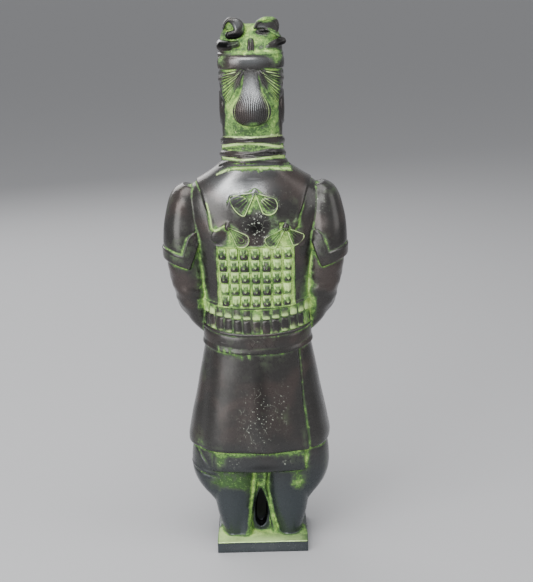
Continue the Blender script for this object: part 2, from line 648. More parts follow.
def scarf_turn(height, half_width, half_depth, thick, phase, steps=72):
    """A turn of cloth that swells and thins."""
    angles = [2 * math.pi * number / steps for number in range(steps + 1)]
    swells = [1 + 0.14 * math.sin(2 * angle + phase) + 0.1 * math.sin(5 * angle - phase) for angle in angles]
    return limb(
        [turn_course(height, half_width, half_depth, phase, angle) for angle in angles],
        [thick * swell for swell in swells],
    )


clay.add(loft(SCARF_CORE, power=2.1), 1.0)
for number, turn in enumerate(SCARF_TURNS):
    phase = TURN_PHASE * number
    clay.add(scarf_turn(*turn, phase), 0.2)
    height, half_width, half_depth, thick = turn
    crease = scarf_turn(height - 0.7, half_width + thick, half_depth + thick, 0.45, phase + 0.6)
    clay.carve(crease, 0.3)
clay.add(limb([(9.0, -19.0, 266.0), (3.0, -21.6, 260.0), (-3.0, -21.2, 254.5)], (2.6, 3.0, 1.6)), 0.6)
print("scarf pressed on")

# %% [markdown]
# ## Head
#
# Behind, the long hair is folded up into a smooth pear-shaped mass. Before, the face is a plain and calm
# one laid out by the usual thirds: brows, base of the nose and chin are a third of the face apart, and the
# eyes are an eye's width apart.

# %% Hair and head
HEAD_SQUARENESS = 2.6
HAIR = [
    (268.0, 0, 2.5, 19.0, 14.0, 15.0), (278.0, 0, 2.5, 19.9, 9.0, 16.6),
    (286.0, 0, 2.5, 19.9, 8.0, 17.4), (298.0, 0, 2.0, 19.8, 8.0, 18.2),
    (306.0, 0, 1.8, 20.6, 10.0, 18.8), (314.0, 0, 1.5, 21.3, 18.0, 19.2),
    (322.0, 0, 1.0, 21.2, 19.6, 19.6), (329.0, 0, 0.0, 20.0, 18.0, 18.6),
    (334.0, 0, 0.0, 17.0, 14.0, 16.0),
]
FACE = [
    (274.6, 0, -10.0, 6.0, 7.0, 9.0), (277.0, 0, -9.5, 10.6, 11.0, 10.0),
    (281.0, 0, -8.4, 14.4, 13.8, 12.0), (288.0, 0, -6.4, 17.4, 15.6, 14.0),
    (298.0, 0, -4.6, 19.2, 17.0, 15.0), (308.0, 0, -3.6, 19.6, 17.6, 15.0),
    (317.0, 0, -3.0, 19.6, 17.4, 15.0), (326.0, 0, -2.0, 18.4, 16.0, 15.0),
]
PEAR = [
    (282.4, 0, 18.0, 3.0, 4.0, 2.0), (284.0, 0, 18.0, 7.4, 5.0, 4.2), (287.4, 0, 18.2, 11.3, 6.0, 6.0),
    (292.6, 0, 18.4, 12.7, 7.0, 7.0), (297.6, 0, 18.4, 11.4, 7.0, 6.6), (302.0, 0, 18.4, 8.8, 6.5, 5.4),
    (306.0, 0, 18.2, 6.8, 6.0, 4.4), (311.0, 0, 18.0, 5.4, 5.0, 3.7), (321.0, 0, 18.0, 4.5, 4.0, 3.2),
]


def hair_relief(x, y, z):
    """The ground beside the folded hair is sunk, and ribs fan out over it from under the cap."""
    across, behind = np.abs(x), y > 2
    fan = np.arctan2(across - 3.5, 321.5 - z)
    combed = behind * step(across - 4.5, 3.0) * step(z - 291 - 0.25 * across, 3.0)
    ribs = np.cos(np.clip(fan, 0, 2) * 17.0)
    ground = behind * (1 - step(z - 291 - 0.25 * across, 4.0)) * step(18.5 - across, 2.0)
    return 0.55 * combed * ribs - 0.7 * ground - 0.9 * line(z - 318.7, 0.8)


clay.add(loft(HAIR, power=HEAD_SQUARENESS, relief=hair_relief), 1.0)
clay.add(loft(FACE), 1.2)
clay.add(loft(PEAR, power=2.0, edge=1.5), 0.4)
print("head pressed on")

# %% [markdown]
# One side of the face is modelled and then done for both, so that it is even. Lids are thin limbs round an
# eyeball, and wide blends let brow, cheek and chin run into each other.

# %% An eye and an ear
def modelled_eye(side):
    """A shallow socket with a round eyeball between two lids, under a soft brow."""
    clay.carve(ball((side * 8.0, -21.8, 301.2), (6.2, 3.2, 3.4), (0, 0, side * 0.22)), 2.0)
    clay.add(ball((side * 8.0, -15.6, 300.9), (4.6, 4.3, 3.6)), 0.2)
    upper = [
        (side * 3.6, -18.6, 300.0), (side * 5.8, -20.0, 301.9), (side * 8.4, -20.2, 302.5),
        (side * 11.0, -18.8, 301.6), (side * 12.8, -16.8, 300.2),
    ]
    lower = [
        (side * 3.8, -18.6, 299.8), (side * 6.2, -19.6, 298.9), (side * 8.6, -19.6, 298.7),
        (side * 11.2, -18.2, 299.3), (side * 12.8, -16.8, 300.1),
    ]
    brow = [
        (side * 3.4, -20.6, 304.4), (side * 7.4, -20.9, 306.3), (side * 11.4, -19.4, 306.5),
        (side * 14.6, -16.6, 305.0),
    ]
    clay.add(limb(upper, (0.5, 0.8, 0.85, 0.8, 0.5)), 0.3)
    clay.add(limb(lower, (0.4, 0.55, 0.6, 0.55, 0.4)), 0.4)
    clay.add(limb(brow, (0.9, 1.3, 1.2, 0.6)), 1.4)


def modelled_ear(side):
    """A long ear. Its back is a smooth lobe that stands away from the hair."""
    clay.add(ball((side * 19.0, 3.4, 293.2), (2.5, 5.4, 12.4), (-0.10, 0, 0)), 0.4)
    clay.add(ball((side * 19.4, 0.2, 295.0), (1.9, 4.4, 10.0), (-0.12, 0, 0)), 0.5)
    rim = [
        (side * 20.2, -3.6, 290.0), (side * 20.4, -4.0, 298.0), (side * 20.5, -1.4, 304.0),
        (side * 20.5, 2.6, 304.6), (side * 20.5, 5.4, 299.0), (side * 20.3, 4.0, 290.6),
        (side * 20.1, 0.8, 284.0),
    ]
    clay.carve(ball((side * 21.6, 0.4, 297.0), (1.7, 2.8, 5.2)), 0.5)
    clay.add(limb(rim, 0.9), 0.5)
    clay.add(ball((side * 19.8, 0.2, 285.0), (1.4, 2.4, 2.8)), 0.6)


print("eye and ear ready")

# %% The face
for side in (1, -1):
    modelled_eye(side)
    modelled_ear(side)
    clay.add(ball((side * 9.4, -13.9, 294.2), (6.6, 5.4, 5.8)), 2.5)
    clay.add(ball((side * 2.5, -22.3, 292.6), (1.9, 2.1, 1.7)), 0.8)
    whisker = [
        (side * 0.9, -22.6, 288.9), (side * 4.6, -21.8, 288.2), (side * 8.0, -19.8, 286.6),
        (side * 9.8, -18.2, 285.4),
    ]
    clay.add(limb(whisker, (0.7, 1.0, 0.8, 0.35)), 0.5)
    sideburn = [(side * 18.6, -6.0, 312.0), (side * 18.8, -6.4, 304.0), (side * 18.6, -5.0, 297.0)]
    clay.add(limb(sideburn, (1.6, 1.3, 0.7)), 0.8)
clay.add(limb([(0, -19.8, 304.4), (0, -22.4, 298.4), (0, -24.4, 293.4)], (1.7, 1.8, 2.3)), 1.6)
for side in (1, -1):
    clay.carve(ball((side * 1.5, -23.9, 290.9), (0.7, 1.0, 0.7)), 0.5)
for side in (-1, 1):
    upper_lip = [(side * 4.8, -20.4, 286.2), (side * 1.6, -22.1, 287.0), (0, -22.0, 286.6)]
    clay.add(limb(upper_lip, (0.5, 1.0, 0.9)), 0.5)
clay.add(ball((0, -20.9, 284.2), (4.0, 2.0, 1.3)), 0.6)
clay.carve(limb([(-5.4, -20.2, 285.7), (0, -22.9, 285.6), (5.4, -20.2, 285.7)], (0.3, 0.45, 0.3)), 0.3)
clay.add(ball((0, -18.2, 279.6), (6.0, 4.0, 4.0)), 2.0)
clay.add(limb([(0, -20.6, 282.6), (0, -21.8, 280.4), (0, -21.4, 277.6)], (0.7, 1.4, 0.5)), 0.6)
print("face pressed on")

# %% [markdown]
# ## Cap
#
# A low cap sits on a plain head band. Its tails are thick ribbons rolled up on top, over a horizontal
# roll at one side and a bar that sticks up at the other, and a ribbed knot holds them. The two scrolls
# aren't twins: one hooks round and ends blunt, and the other is pressed flat over a dark slot.

# %% Band, crown, roll, bar and knot
CAP_BAND = [
    (319.6, 0, 0.0, 21.2, 20.6, 20.4), (320.8, 0, 0.0, 21.9, 21.4, 21.2),
    (325.0, 0, 0.0, 22.0, 21.4, 21.4), (329.4, 0, 0.0, 21.2, 20.4, 20.6),
    (330.6, 0, 0.0, 20.2, 19.4, 19.6),
]
CAP_CROWN = [
    (326.0, 0, 0.0, 20.6, 18.8, 19.0), (331.0, 0, 0.4, 20.9, 17.0, 17.6), (336.0, 0, 1.4, 20.6, 13.6, 13.0),
    (340.0, 0, 2.2, 19.4, 10.6, 8.6), (343.4, 0, 2.8, 18.0, 8.6, 6.4), (346.2, 0, 3.2, 16.6, 7.2, 5.2),
    (347.6, 0, 3.4, 14.6, 6.0, 4.4),
]


def band_relief(x, y, z):
    return 0.35 * line(z - 329.0, 0.8) - 0.3 * line(z - 327.2, 0.8)


clay.add(loft(CAP_CROWN, power=2.6, edge=2.0), 1.0)
clay.add(loft(CAP_BAND, power=HEAD_SQUARENESS, relief=band_relief), 0.3)
roll = [(18.4, 1.0, 334.4), (18.2, 9.0, 333.9), (13.2, 14.0, 334.2), (8.4, 16.2, 335.2)]
clay.add(limb(roll, (3.9, 3.7, 3.2, 2.2)), 0.6)
clay.carve(limb([(18.8, 12.6, 330.9), (12.4, 17.6, 331.2), (5.0, 19.2, 331.8)], (0.9, 0.9, 0.8)), 0.5)
clay.carve(ball((3.8, 19.2, 330.2), (1.6, 1.6, 1.6)), 0.4)
clay.add(limb([(-11.0, 14.8, 332.6), (-16.0, 12.4, 334.6), (-20.8, 8.6, 336.4)], (1.9, 2.4, 2.7)), 0.6)
clay.add(limb([(-12.0, 15.4, 335.2), (-16.4, 12.6, 337.2), (-20.0, 9.4, 338.2)], (0.7, 0.8, 0.7)), 0.5)
clay.add(limb([(-0.4, 15.4, 337.0), (-0.4, 18.6, 331.0)], (2.3, 2.2)), 1.0)
for x in (0.95, -1.65):
    clay.carve(limb([(x, 18.0, 337.0), (x, 20.2, 331.4)], 0.8), 0.3)
clay.carve(limb([(4.0, 18.6, 330.4), (4.0, 21.4, 328.6)], (0.9, 0.5)), 0.4)
print("cap pressed on")

# %% [markdown]
# A rolled ribbon looks the same all the way from front to back. So its course is given as seen end on, with
# a thickness at each place, and is then drawn out along Y.

# %% The two rolled ribbons
SCROLL_ENDS = (-4.4, 13.4)
HOOKED_SCROLL = [
    (17.0, 345.0, 0.7), (15.8, 348.4, 1.1), (13.4, 350.4, 1.5), (10.6, 349.6, 2.4), (8.2, 348.0, 3.3),
    (6.9, 345.4, 3.7), (7.2, 342.9, 3.5), (9.2, 341.3, 3.2), (11.6, 340.9, 2.9), (13.4, 340.8, 2.6),
]
PRESSED_SCROLL = [
    (-4.2, 345.6, 1.4), (-7.0, 347.2, 2.5), (-10.6, 347.6, 3.2), (-14.4, 347.2, 3.4), (-16.4, 345.6, 2.6),
    (-17.2, 343.4, 1.4),
]
PRESSED_LIP = [
    (-3.0, 345.2, 0.8), (-5.2, 348.4, 1.0), (-9.4, 350.6, 1.2), (-13.6, 350.9, 1.2), (-17.0, 349.4, 1.2),
    (-18.0, 346.6, 1.1),
]
PRESSED_TAIL = [(-10.6, 343.9, 0.9), (-14.6, 342.2, 1.0), (-19.0, 339.6, 1.2)]

clay.add(ribbon(HOOKED_SCROLL, SCROLL_ENDS, 2.6), 0.5)
clay.add(limb([(13.4, -2.0, 346.4), (13.0, 8.6, 346.2)], 3.0), 0.6)
clay.add(ribbon(PRESSED_SCROLL, (SCROLL_ENDS[0], SCROLL_ENDS[1] - 0.9), 1.8), 0.5)
clay.add(ribbon(PRESSED_LIP, (SCROLL_ENDS[0], SCROLL_ENDS[1] + 0.2), 1.0), 0.4)
clay.add(ribbon(PRESSED_TAIL, SCROLL_ENDS, 1.0), 0.5)
clay.add(ball((-9.0, 8.0, 340.0), (9.0, 4.6, 5.0)), 1.5)
clay.carve(limb([(-4.4, 12.0, 343.0), (-8.0, 12.6, 342.5), (-12.2, 12.4, 341.6)], (1.1, 1.6, 0.9)), 0.4)
print("scrolls pressed on")

# %% [markdown]
# ## Bows
#
# Ribbon bows hang on the cape behind and before. Each has a knot and two flat loops that lean outwards.
# The clay gives each loop a low pad and a raised border, and finer pleats are laid on it later.

# %% Bow pads and borders
# For each knot at (x, height): its loops as (lean in degrees, length, half width, roundness of the end)
BOWS_BEHIND = {
    (-0.6, 240.2): [(54, 17.0, 7.6, 0.4), (-46, 18.0, 5.8, 1.0)],
    (17.7, 218.6): [(-45, 17.4, 4.8, 1.0)],
    (-20.2, 217.6): [(45, 16.8, 4.6, 0.6), (-42, 14.4, 4.8, 0.5)],
}
BOWS_BEFORE = {
    (17.0, 222.0): [(48, 13.0, 3.8, 0.8), (-48, 13.0, 3.8, 0.8)],
    (-17.0, 222.0): [(48, 13.0, 3.8, 0.8), (-48, 13.0, 3.8, 0.8)],
}


def trunk_skin(x, height, behind, out=0.0):
    """How far before or behind the axis the trunk's surface lies."""
    _, centre, half, front, back = between(TORSO, np.atleast_1d(float(height)))
    share = min(abs(x) / half[0], 0.985)
    reach = (1 - share**SQUARENESS) ** (1 / SQUARENESS)
    cape = YOKE_RISE * min(max((height - 205) / 15, 0.1), 1.0) + out
    return float(centre[0] + ((back[0] if behind else -front[0]) + (cape if behind else -cape)) * reach)


def loop_outline(knot, loop, shrink=1.0, steps=14):
    """A loop from the knot to its round or blunt end, as (x, height)."""
    lean, length, half_width, roundness = loop
    blunt = half_width * roundness
    flat = [(0.0, -length * (1 - shrink) * 0.55)]
    for number in range(steps + 1):
        angle = math.pi * (number / steps - 0.5)
        down = -length + blunt - shrink * blunt * math.cos(angle)
        flat.append((shrink * half_width * math.sin(angle), down))
    flat.append(flat[0])
    c, s = math.cos(math.radians(lean)), math.sin(math.radians(lean))
    return [(knot[0] + c * a - s * b, knot[1] + s * a + c * b) for a, b in flat]


def on_trunk(outline, behind, out=0.0):
    return [(x, trunk_skin(x, height, behind, out), height) for x, height in outline]


for bows, behind in ((BOWS_BEHIND, True), (BOWS_BEFORE, False)):
    for knot, loops in bows.items():
        for loop in loops:
            lean, length, half_width, _ = loop
            outline = loop_outline(knot, loop)
            middle = np.mean(on_trunk(outline, behind, -0.5), axis=0)
            pad = (half_width * 0.95, 1.0, length * 0.42)
            clay.add(ball(middle, pad, (0, -math.radians(lean), 0)), 0.5)
            clay.add(limb(on_trunk(outline, behind), 0.8), 0.3)
        raised = 1.2 if knot[1] > 230 else 2.2
        clay.add(ball((knot[0], trunk_skin(*knot, behind), knot[1]), (2.3, raised, 2.8)), 0.8)
plain_loop = (23.2, trunk_skin(23.2, 213.6, True, -0.8), 213.6)
clay.add(ball(plain_loop, (4.6, 1.6, 6.6), (0, math.radians(-48), 0)), 0.8)
print("bows pressed on")

# %% [markdown]
# ## Plate
#
# The plate was cast with the figure. Round the heels the metal runs into it in a soft fillet, which a
# wide blend gives.

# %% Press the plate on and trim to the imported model's box
plate = block(
    (0, 0, -PLATE_THICK / 2), (PLATE_HALF_WIDTH, PLATE_HALF_DEPTH, PLATE_THICK / 2), edge=PLATE_EDGE,
)
below = clay_axes[2] < -PLATE_THICK / 2
clay.depth = np.where(below, FAR, clay.depth)
clay.add(plate, 1.8)
limits = np.array([to_units(CAD_LOW), to_units(CAD_HIGH)])
for axis, samples in enumerate(clay_axes):
    beyond = np.maximum(limits[0, axis] + 0.05 - samples, samples - limits[1, axis] + 0.05)
    clay.depth = np.maximum(clay.depth, beyond.astype(np.float32))
print("clay is done:", int((clay.depth < 0).sum()), "samples inside")

# %% [markdown]
# ## Where the corrosion settles
#
# Green collects where a cloth doesn't reach. How closed in a place is can be measured: average the
# clay over a small box round it. On a flat face half of the box is full, in a groove more, on an edge
# less. Three box sizes find fine lines, folds and the wide hollows under the arms.

# %% Measure the hollows at three sizes
def averaged(volume, reach):
    """The mean over a box of the given reach, by running sums along each axis."""
    cells = max(int(round(reach)), 1)
    for axis in range(3):
        pad = [(0, 0)] * 3
        pad[axis] = (cells + 1, cells)
        total = np.cumsum(np.pad(volume, pad), axis=axis, dtype=np.float32)
        ahead = np.take(total, range(2 * cells + 1, total.shape[axis]), axis=axis)
        behind = np.take(total, range(0, total.shape[axis] - 2 * cells - 1), axis=axis)
        volume = (ahead - behind) / (2 * cells + 1)
    return volume


filled = np.clip(0.5 - clay.depth / GRAIN, 0, 1)
wide, deep, tall = (size // 2 for size in filled.shape)
coarse = filled[: 2 * wide, : 2 * deep, : 2 * tall].reshape(wide, 2, deep, 2, tall, 2).mean((1, 3, 5))
HOLLOWS = {
    "fine": (averaged(filled, 1.1 / GRAIN), 1),
    "middle": (averaged(coarse, 2.6 / (2 * GRAIN)), 2),
    "wide": (averaged(averaged(coarse, 5.0 / (2 * GRAIN)), 3.0 / (2 * GRAIN)), 2),
}


def read_samples(volume, places):
    """The volume's value at places given in its own samples, from the eight round each."""
    places = np.clip(places, 0, np.array(volume.shape) - 1.001)
    base = places.astype(int)
    share = places - base
    value = np.zeros(len(places))
    for corner in np.ndindex(2, 2, 2):
        weight = np.prod(np.where(corner, share, 1 - share), axis=1)
        value += weight * volume[tuple((base + corner).T)]
    return value


def hollow(name, points):
    """From -1 on a sharp edge through 0 on a flat face to 1 deep in a hollow."""
    volume, step_size = HOLLOWS[name]
    places = points / GRAIN - clay.corner
    if step_size == 2:
        places = (places - 0.5) / 2
    return 2 * read_samples(volume, places) - 1


print("hollows measured:", {name: volume.shape for name, (volume, _) in HOLLOWS.items()})

# %% [markdown]
# ## From clay to a mesh
#
# OpenVDB, which comes with Blender, turns the distances into quads. A Decimate modifier then keeps the
# triangles where the form is busy. A hand-made casting is never quite even, so before that each point is
# moved a few hundredths of a millimetre by a smooth random field with a fixed seed.

# %% Meshes from arrays, and plain copies
def mesh_from_arrays(name, points, faces):
    mesh = bpy.data.meshes.new(name)
    corners = faces.shape[1]
    mesh.vertices.add(len(points))
    mesh.vertices.foreach_set("co", np.ascontiguousarray(points, np.float32).ravel())
    mesh.loops.add(faces.size)
    mesh.loops.foreach_set("vertex_index", np.ascontiguousarray(faces, np.int32).ravel())
    mesh.polygons.add(len(faces))
    mesh.polygons.foreach_set("loop_start", np.arange(len(faces), dtype=np.int32) * corners)
    mesh.update(calc_edges=True)
    mesh.validate()
    return mesh


def plain_copy(item, name):
    """The item with its modifiers applied, as an object of its own at the origin."""
    graph = bpy.context.evaluated_depsgraph_get()
    made = bpy.data.meshes.new_from_object(item.evaluated_get(graph), depsgraph=graph)
    made.name = name
    piece = bpy.data.objects.new(name, made)
    bpy.context.scene.collection.objects.link(piece)
    return piece


print("mesh helpers ready")

# %% Make the mesh of the casting
TRIANGLES = 192000
UNEVEN = 0.14
UNEVEN_SIZE = 7.0
UNEVEN_SEED = 7

vdb = openvdb.FloatGrid()
vdb.copyFromArray(np.clip(clay.depth, -3 * GRAIN, 3 * GRAIN))
points, quads = vdb.convertToQuads(isovalue=0.0)
points = (points + clay.corner) * GRAIN
wobble = np.random.default_rng(UNEVEN_SEED).normal(0, 1, (24, 18, 60)).astype(np.float32)
shift = read_samples(averaged(wobble, 1), (points - clay.corner * GRAIN) / UNEVEN_SIZE + 1)
corners = points[quads]
face_normals = np.cross(corners[:, 2] - corners[:, 0], corners[:, 3] - corners[:, 1])
normals = np.zeros_like(points)
for number in range(4):
    np.add.at(normals, quads[:, number], face_normals)
normals /= np.maximum(np.linalg.norm(normals, axis=1, keepdims=True), 1e-9)
inward = np.clip(shift / shift.std(), -2, 2) * 0.5 - 1
standing = points[:, 2] > -PLATE_THICK + 0.5
points = points + normals * (inward * UNEVEN * standing)[:, None]
raw = bpy.data.objects.new("raw_casting", mesh_from_arrays("raw_casting", to_metres(points), quads))
bpy.context.scene.collection.objects.link(raw)
thin = raw.modifiers.new("thin_out", "DECIMATE")
thin.ratio = TRIANGLES / (2 * len(quads))
statue = plain_copy(raw, "cast_general")
bpy.data.objects.remove(raw)
statue.data.shade_smooth()
print("casting:", 2 * len(quads), "triangles thinned to", len(statue.data.polygons))

# %% [markdown]
# ## One way to add nodes
#
# The next steps build node trees, first of geometry and then of shaders. One small class adds any node,
# and another wraps an output socket so that sums can be written as ordinary Python.

# %% Nodes as Python expressions
class Wire:
    """An output socket. Arithmetic on it adds Math nodes to its tree."""

    def __init__(self, plan, socket):
        self.plan, self.socket = plan, socket

    def maths(self, operation, *values):
        return self.plan.add("ShaderNodeMath", {"operation": operation}, dict(enumerate(values)))

    def __add__(self, other):
        return self.maths("ADD", self, other)

    __radd__ = __add__

    def __mul__(self, other):
        return self.maths("MULTIPLY", self, other)

    __rmul__ = __mul__

    def __sub__(self, other):
        return self.maths("SUBTRACT", self, other)

    def __rsub__(self, other):
        return self.maths("SUBTRACT", other, self)

    def beside(self, name):
        """Another output of the node that this one comes from."""
        return Wire(self.plan, self.socket.node.outputs[name])

    def past(self, low, high):
        """Rises smoothly from 0 at low to 1 at high."""
        return self.plan.add(
            "ShaderNodeMapRange", {"interpolation_type": "SMOOTHSTEP"}, {0: self, 1: low, 2: high},
        )


print("sums on sockets ready")

# %% Any node by one method
class Plan:
    """A node tree. add() takes a node's type, its settings, and its sockets' values or links."""

    def __init__(self, tree):
        self.tree = tree

    def add(self, kind, settings=None, values=None, out=0):
        node = self.tree.nodes.new(kind)
        for name, value in (settings or {}).items():
            setattr(node, name, value)
        for key, value in (values or {}).items():
            if isinstance(value, Wire):
                self.tree.links.new(value.socket, node.inputs[key])
            else:
                node.inputs[key].default_value = value
        return Wire(self, node.outputs[out]) if len(node.outputs) else node


print("node helpers ready")

# %% [markdown]
# A geometry tree is a recipe that a modifier follows. Its inputs have names to be read by, but a modifier
# takes its values by each socket's identifier. The finished form is copied out as a plain mesh.

# %% Geometry trees with named inputs
def geometry_plan(name, inputs):
    """A geometry tree with named inputs, given as (name, socket type, default value)."""
    tree = bpy.data.node_groups.new(name, "GeometryNodeTree")
    for title, kind, default in inputs:
        socket = tree.interface.new_socket(title, in_out="INPUT", socket_type=kind)
        if default is not None:
            socket.default_value = default
    tree.interface.new_socket("Geometry", in_out="OUTPUT", socket_type="NodeSocketGeometry")
    plan = Plan(tree)
    entry = tree.nodes.new("NodeGroupInput")
    return plan, {socket.name: Wire(plan, socket) for socket in entry.outputs if socket.name}


def end_plan(plan, geometry, material):
    """Makes real geometry of the instances, gives it the metal and ends the tree."""
    real = plan.add("GeometryNodeRealizeInstances", values={"Geometry": geometry})
    dressed = plan.add("GeometryNodeSetMaterial", values={"Geometry": real, "Material": material})
    smooth = plan.add("GeometryNodeSetShadeSmooth", values={0: dressed, "Shade Smooth": True})
    plan.add("NodeGroupOutput", values={0: smooth})


def grown(name, plan, values, start=None):
    """Runs a geometry tree with the given inputs and returns its result as a plain object."""
    holder = bpy.data.objects.new(name + "_plan", start or bpy.data.meshes.new(name))
    bpy.context.scene.collection.objects.link(holder)
    modifier = holder.modifiers.new("grow", "NODES")
    modifier.node_group = plan.tree
    for item in plan.tree.interface.items_tree:
        if item.in_out == "INPUT" and item.name in values:
            modifier[item.identifier] = values[item.name]
    piece = plain_copy(holder, name)
    bpy.data.objects.remove(holder)
    return piece


bronze = bpy.data.materials.new("patinated_bronze")
bronze.use_nodes = True
print("geometry helpers ready")

# %% [markdown]
# ## A smooth guide for what lies on the trunk
#
# Scales and plates are set square to the surface. The casting's facets would make each one tilt a
# little at random, so a plain loft of the trunk serves as a guide for their places and is then removed.

# %% The guide
def guide_mesh(name, rows, around=180):
    heights = np.arange(rows[0][0], rows[-1][0], 1.5)
    points, faces = [], []
    for height in heights:
        centre_x, centre_y, half, front, back = (value[0] for value in between(rows, np.array([height])))
        for turn in range(around):
            c, s = math.cos(2 * math.pi * turn / around), math.sin(2 * math.pi * turn / around)
            deep = back if s > 0 else front
            x = centre_x + half * math.copysign(abs(c) ** (2 / SQUARENESS), c)
            points.append((x, centre_y + deep * math.copysign(abs(s) ** (2 / SQUARENESS), s), height))
    for ring in range(len(heights) - 1):
        for turn in range(around):
            a, b = ring * around + turn, ring * around + (turn + 1) % around
            faces.append((a, b, b + around, a + around))
    item = bpy.data.objects.new(name, mesh_from_arrays(name, to_metres(points), np.array(faces)))
    bpy.context.scene.collection.objects.link(item)
    return item


trunk_guide = guide_mesh("trunk_guide", TORSO)
print("guide:", len(trunk_guide.data.polygons), "faces")

# %% [markdown]
# ## Armour scales
#
# Each scale is a small plate whose rounded lower end stands out, with a pointed tongue on it. One is
# modelled here, and a grid of places is then cast onto the guide by a Raycast node. The stored values
# say where green stays: on the upper half and the tongue, but not on the wiped lower end.

# %% Small forms with their green stored
FORM_SUNK = 0.7


def stamped(name, profile_rows, green, edge_green=0.0):
    """A small form from rows of (height, half width, rise), with its green stored at each point.

    Its edge lies a little under the surface that it is set on.
    """
    bm = bmesh.new()
    layer = bm.verts.layers.float.new("green")
    shares = (-1.0, -0.72, 0.0, 0.72, 1.0)
    lifts = (0.0, 0.86, 1.0, 0.86, 0.0)
    rings = []
    for number, (height, half, rise) in enumerate(profile_rows):
        ring = []
        for share, lift in zip(shares, lifts):
            vertex = bm.verts.new((share * half * UNIT, (rise * lift - FORM_SUNK) * UNIT, height * UNIT))
            vertex[layer] = max(green[number], edge_green) if abs(share) == 1 else green[number]
            ring.append(vertex)
        rings.append(ring)
    for low, high in zip(rings, rings[1:]):
        for a, b, c, d in zip(low, low[1:], high[1:], high):
            bm.faces.new((a, b, c, d))
        bm.faces.new((low[0], high[0], high[-1], low[-1]))
    for ring in (rings[0], rings[-1]):
        bm.faces.new(ring)
    bmesh.ops.recalc_face_normals(bm, faces=bm.faces)
    mesh = bpy.data.meshes.new(name)
    bm.to_mesh(mesh)
    bm.free()
    item = bpy.data.objects.new(name, mesh)
    bpy.context.scene.collection.objects.link(item)
    return item


print("stamp ready")

# %% One armour scale
SCALE_SIZE = (5.9, 7.5)

half_wide, half_high = SCALE_SIZE[0] / 2, SCALE_SIZE[1] / 2
plate_form = stamped(
    "scale_plate",
    [
        (-half_high, half_wide * 0.84, 1.0), (-half_high * 0.86, half_wide * 0.95, 1.8),
        (-half_high * 0.55, half_wide, 1.75), (-half_high * 0.1, half_wide, 1.3),
        (half_high * 0.35, half_wide, 0.9), (half_high, half_wide * 0.96, 0.8),
    ],
    (0.9, 0.4, 0.15, 0.65, 1.15, 1.3), 1.05,
)
tongue_form = stamped(
    "scale_tongue",
    [
        (-2.0, 0.2, 2.0), (-1.3, 0.8, 2.7), (0.0, 1.35, 2.6), (1.4, 1.8, 2.1), (3.3, 2.2, 1.5),
    ],
    (1.25, 1.0, 0.66, 0.62, 1.0), 1.3,
)
print("scale:", len(plate_form.data.polygons) + len(tongue_form.data.polygons), "faces")

# %% The tree that hangs rows of scales on a surface
scales, scale_in = geometry_plan("rows_of_scales", [
    ("Guide", "NodeSocketObject", None), ("Scale", "NodeSocketObject", None),
    ("Metal", "NodeSocketMaterial", None), ("Columns", "NodeSocketInt", 7), ("Rows", "NodeSocketInt", 5),
    ("Pitch Across", "NodeSocketFloat", 0.007), ("Pitch Down", "NodeSocketFloat", 0.008),
    ("Middle Height", "NodeSocketFloat", 0.2), ("Facing", "NodeSocketFloat", 1.0),
    ("Flare", "NodeSocketFloat", 0.0), ("Unevenness", "NodeSocketFloat", 0.0), ("Seed", "NodeSocketInt", 1),
])
guide_surface = scales.add("GeometryNodeObjectInfo", values={"Object": scale_in["Guide"]}, out="Geometry")
one_scale = scales.add("GeometryNodeObjectInfo", values={"Object": scale_in["Scale"]}, out="Geometry")
places = scales.add("GeometryNodeMeshGrid", values={
    "Size X": (scale_in["Columns"] - 1) * scale_in["Pitch Across"],
    "Size Y": (scale_in["Rows"] - 1) * scale_in["Pitch Down"],
    "Vertices X": scale_in["Columns"], "Vertices Y": scale_in["Rows"],
})
position = scales.add("GeometryNodeInputPosition")
split = scales.add("ShaderNodeSeparateXYZ", values={0: position})
split_y = split.beside("Y")
wander = scales.add("FunctionNodeRandomValue", {"data_type": "FLOAT"}, {
    2: -1.0, 3: 1.0, "Seed": scale_in["Seed"],
}, out=1)
wander_too = scales.add("FunctionNodeRandomValue", {"data_type": "FLOAT"}, {
    2: -1.0, 3: 1.0, "Seed": scale_in["Seed"] + 1,
}, out=1)
start = scales.add("ShaderNodeCombineXYZ", values={
    0: split * (1.0 + scale_in["Flare"] * split_y) + wander * scale_in["Unevenness"],
    1: scale_in["Facing"] * 0.1,
    2: split_y + scale_in["Middle Height"] + wander_too * scale_in["Unevenness"],
})
towards = scales.add("ShaderNodeCombineXYZ", values={1: 0.0 - scale_in["Facing"]})
cast = scales.add("GeometryNodeRaycast", values={
    "Target Geometry": guide_surface, "Source Position": start, "Ray Direction": towards,
    "Ray Length": 1.0,
})
hit_place, hit_normal = cast.beside("Hit Position"), cast.beside("Hit Normal")
facing = scales.add("FunctionNodeAlignRotationToVector", {"axis": "Y"}, {"Vector": hit_normal})
upright = scales.add("FunctionNodeAlignRotationToVector", {"axis": "Z", "pivot_axis": "Y"}, {
    "Rotation": facing, "Vector": (0.0, 0.0, 1.0),
})
noted = scales.add("GeometryNodeStoreNamedAttribute", {"data_type": "QUATERNION", "domain": "POINT"}, {
    "Geometry": places, "Name": "stand", "Value": upright,
})
laid = scales.add("GeometryNodeSetPosition", values={"Geometry": noted, "Position": hit_place})
stand = scales.add("GeometryNodeInputNamedAttribute", {"data_type": "QUATERNION"}, {"Name": "stand"})
hung = scales.add("GeometryNodeInstanceOnPoints", values={
    "Points": laid, "Instance": one_scale, "Rotation": stand,
})
luck = scales.add("FunctionNodeRandomValue", {"data_type": "FLOAT"}, {
    2: -0.3, 3: 0.3, "Seed": scale_in["Seed"] + 2,
}, out=1)
tinted = scales.add("GeometryNodeStoreNamedAttribute", {"data_type": "FLOAT", "domain": "INSTANCE"}, {
    "Geometry": hung, "Name": "luck", "Value": luck,
})
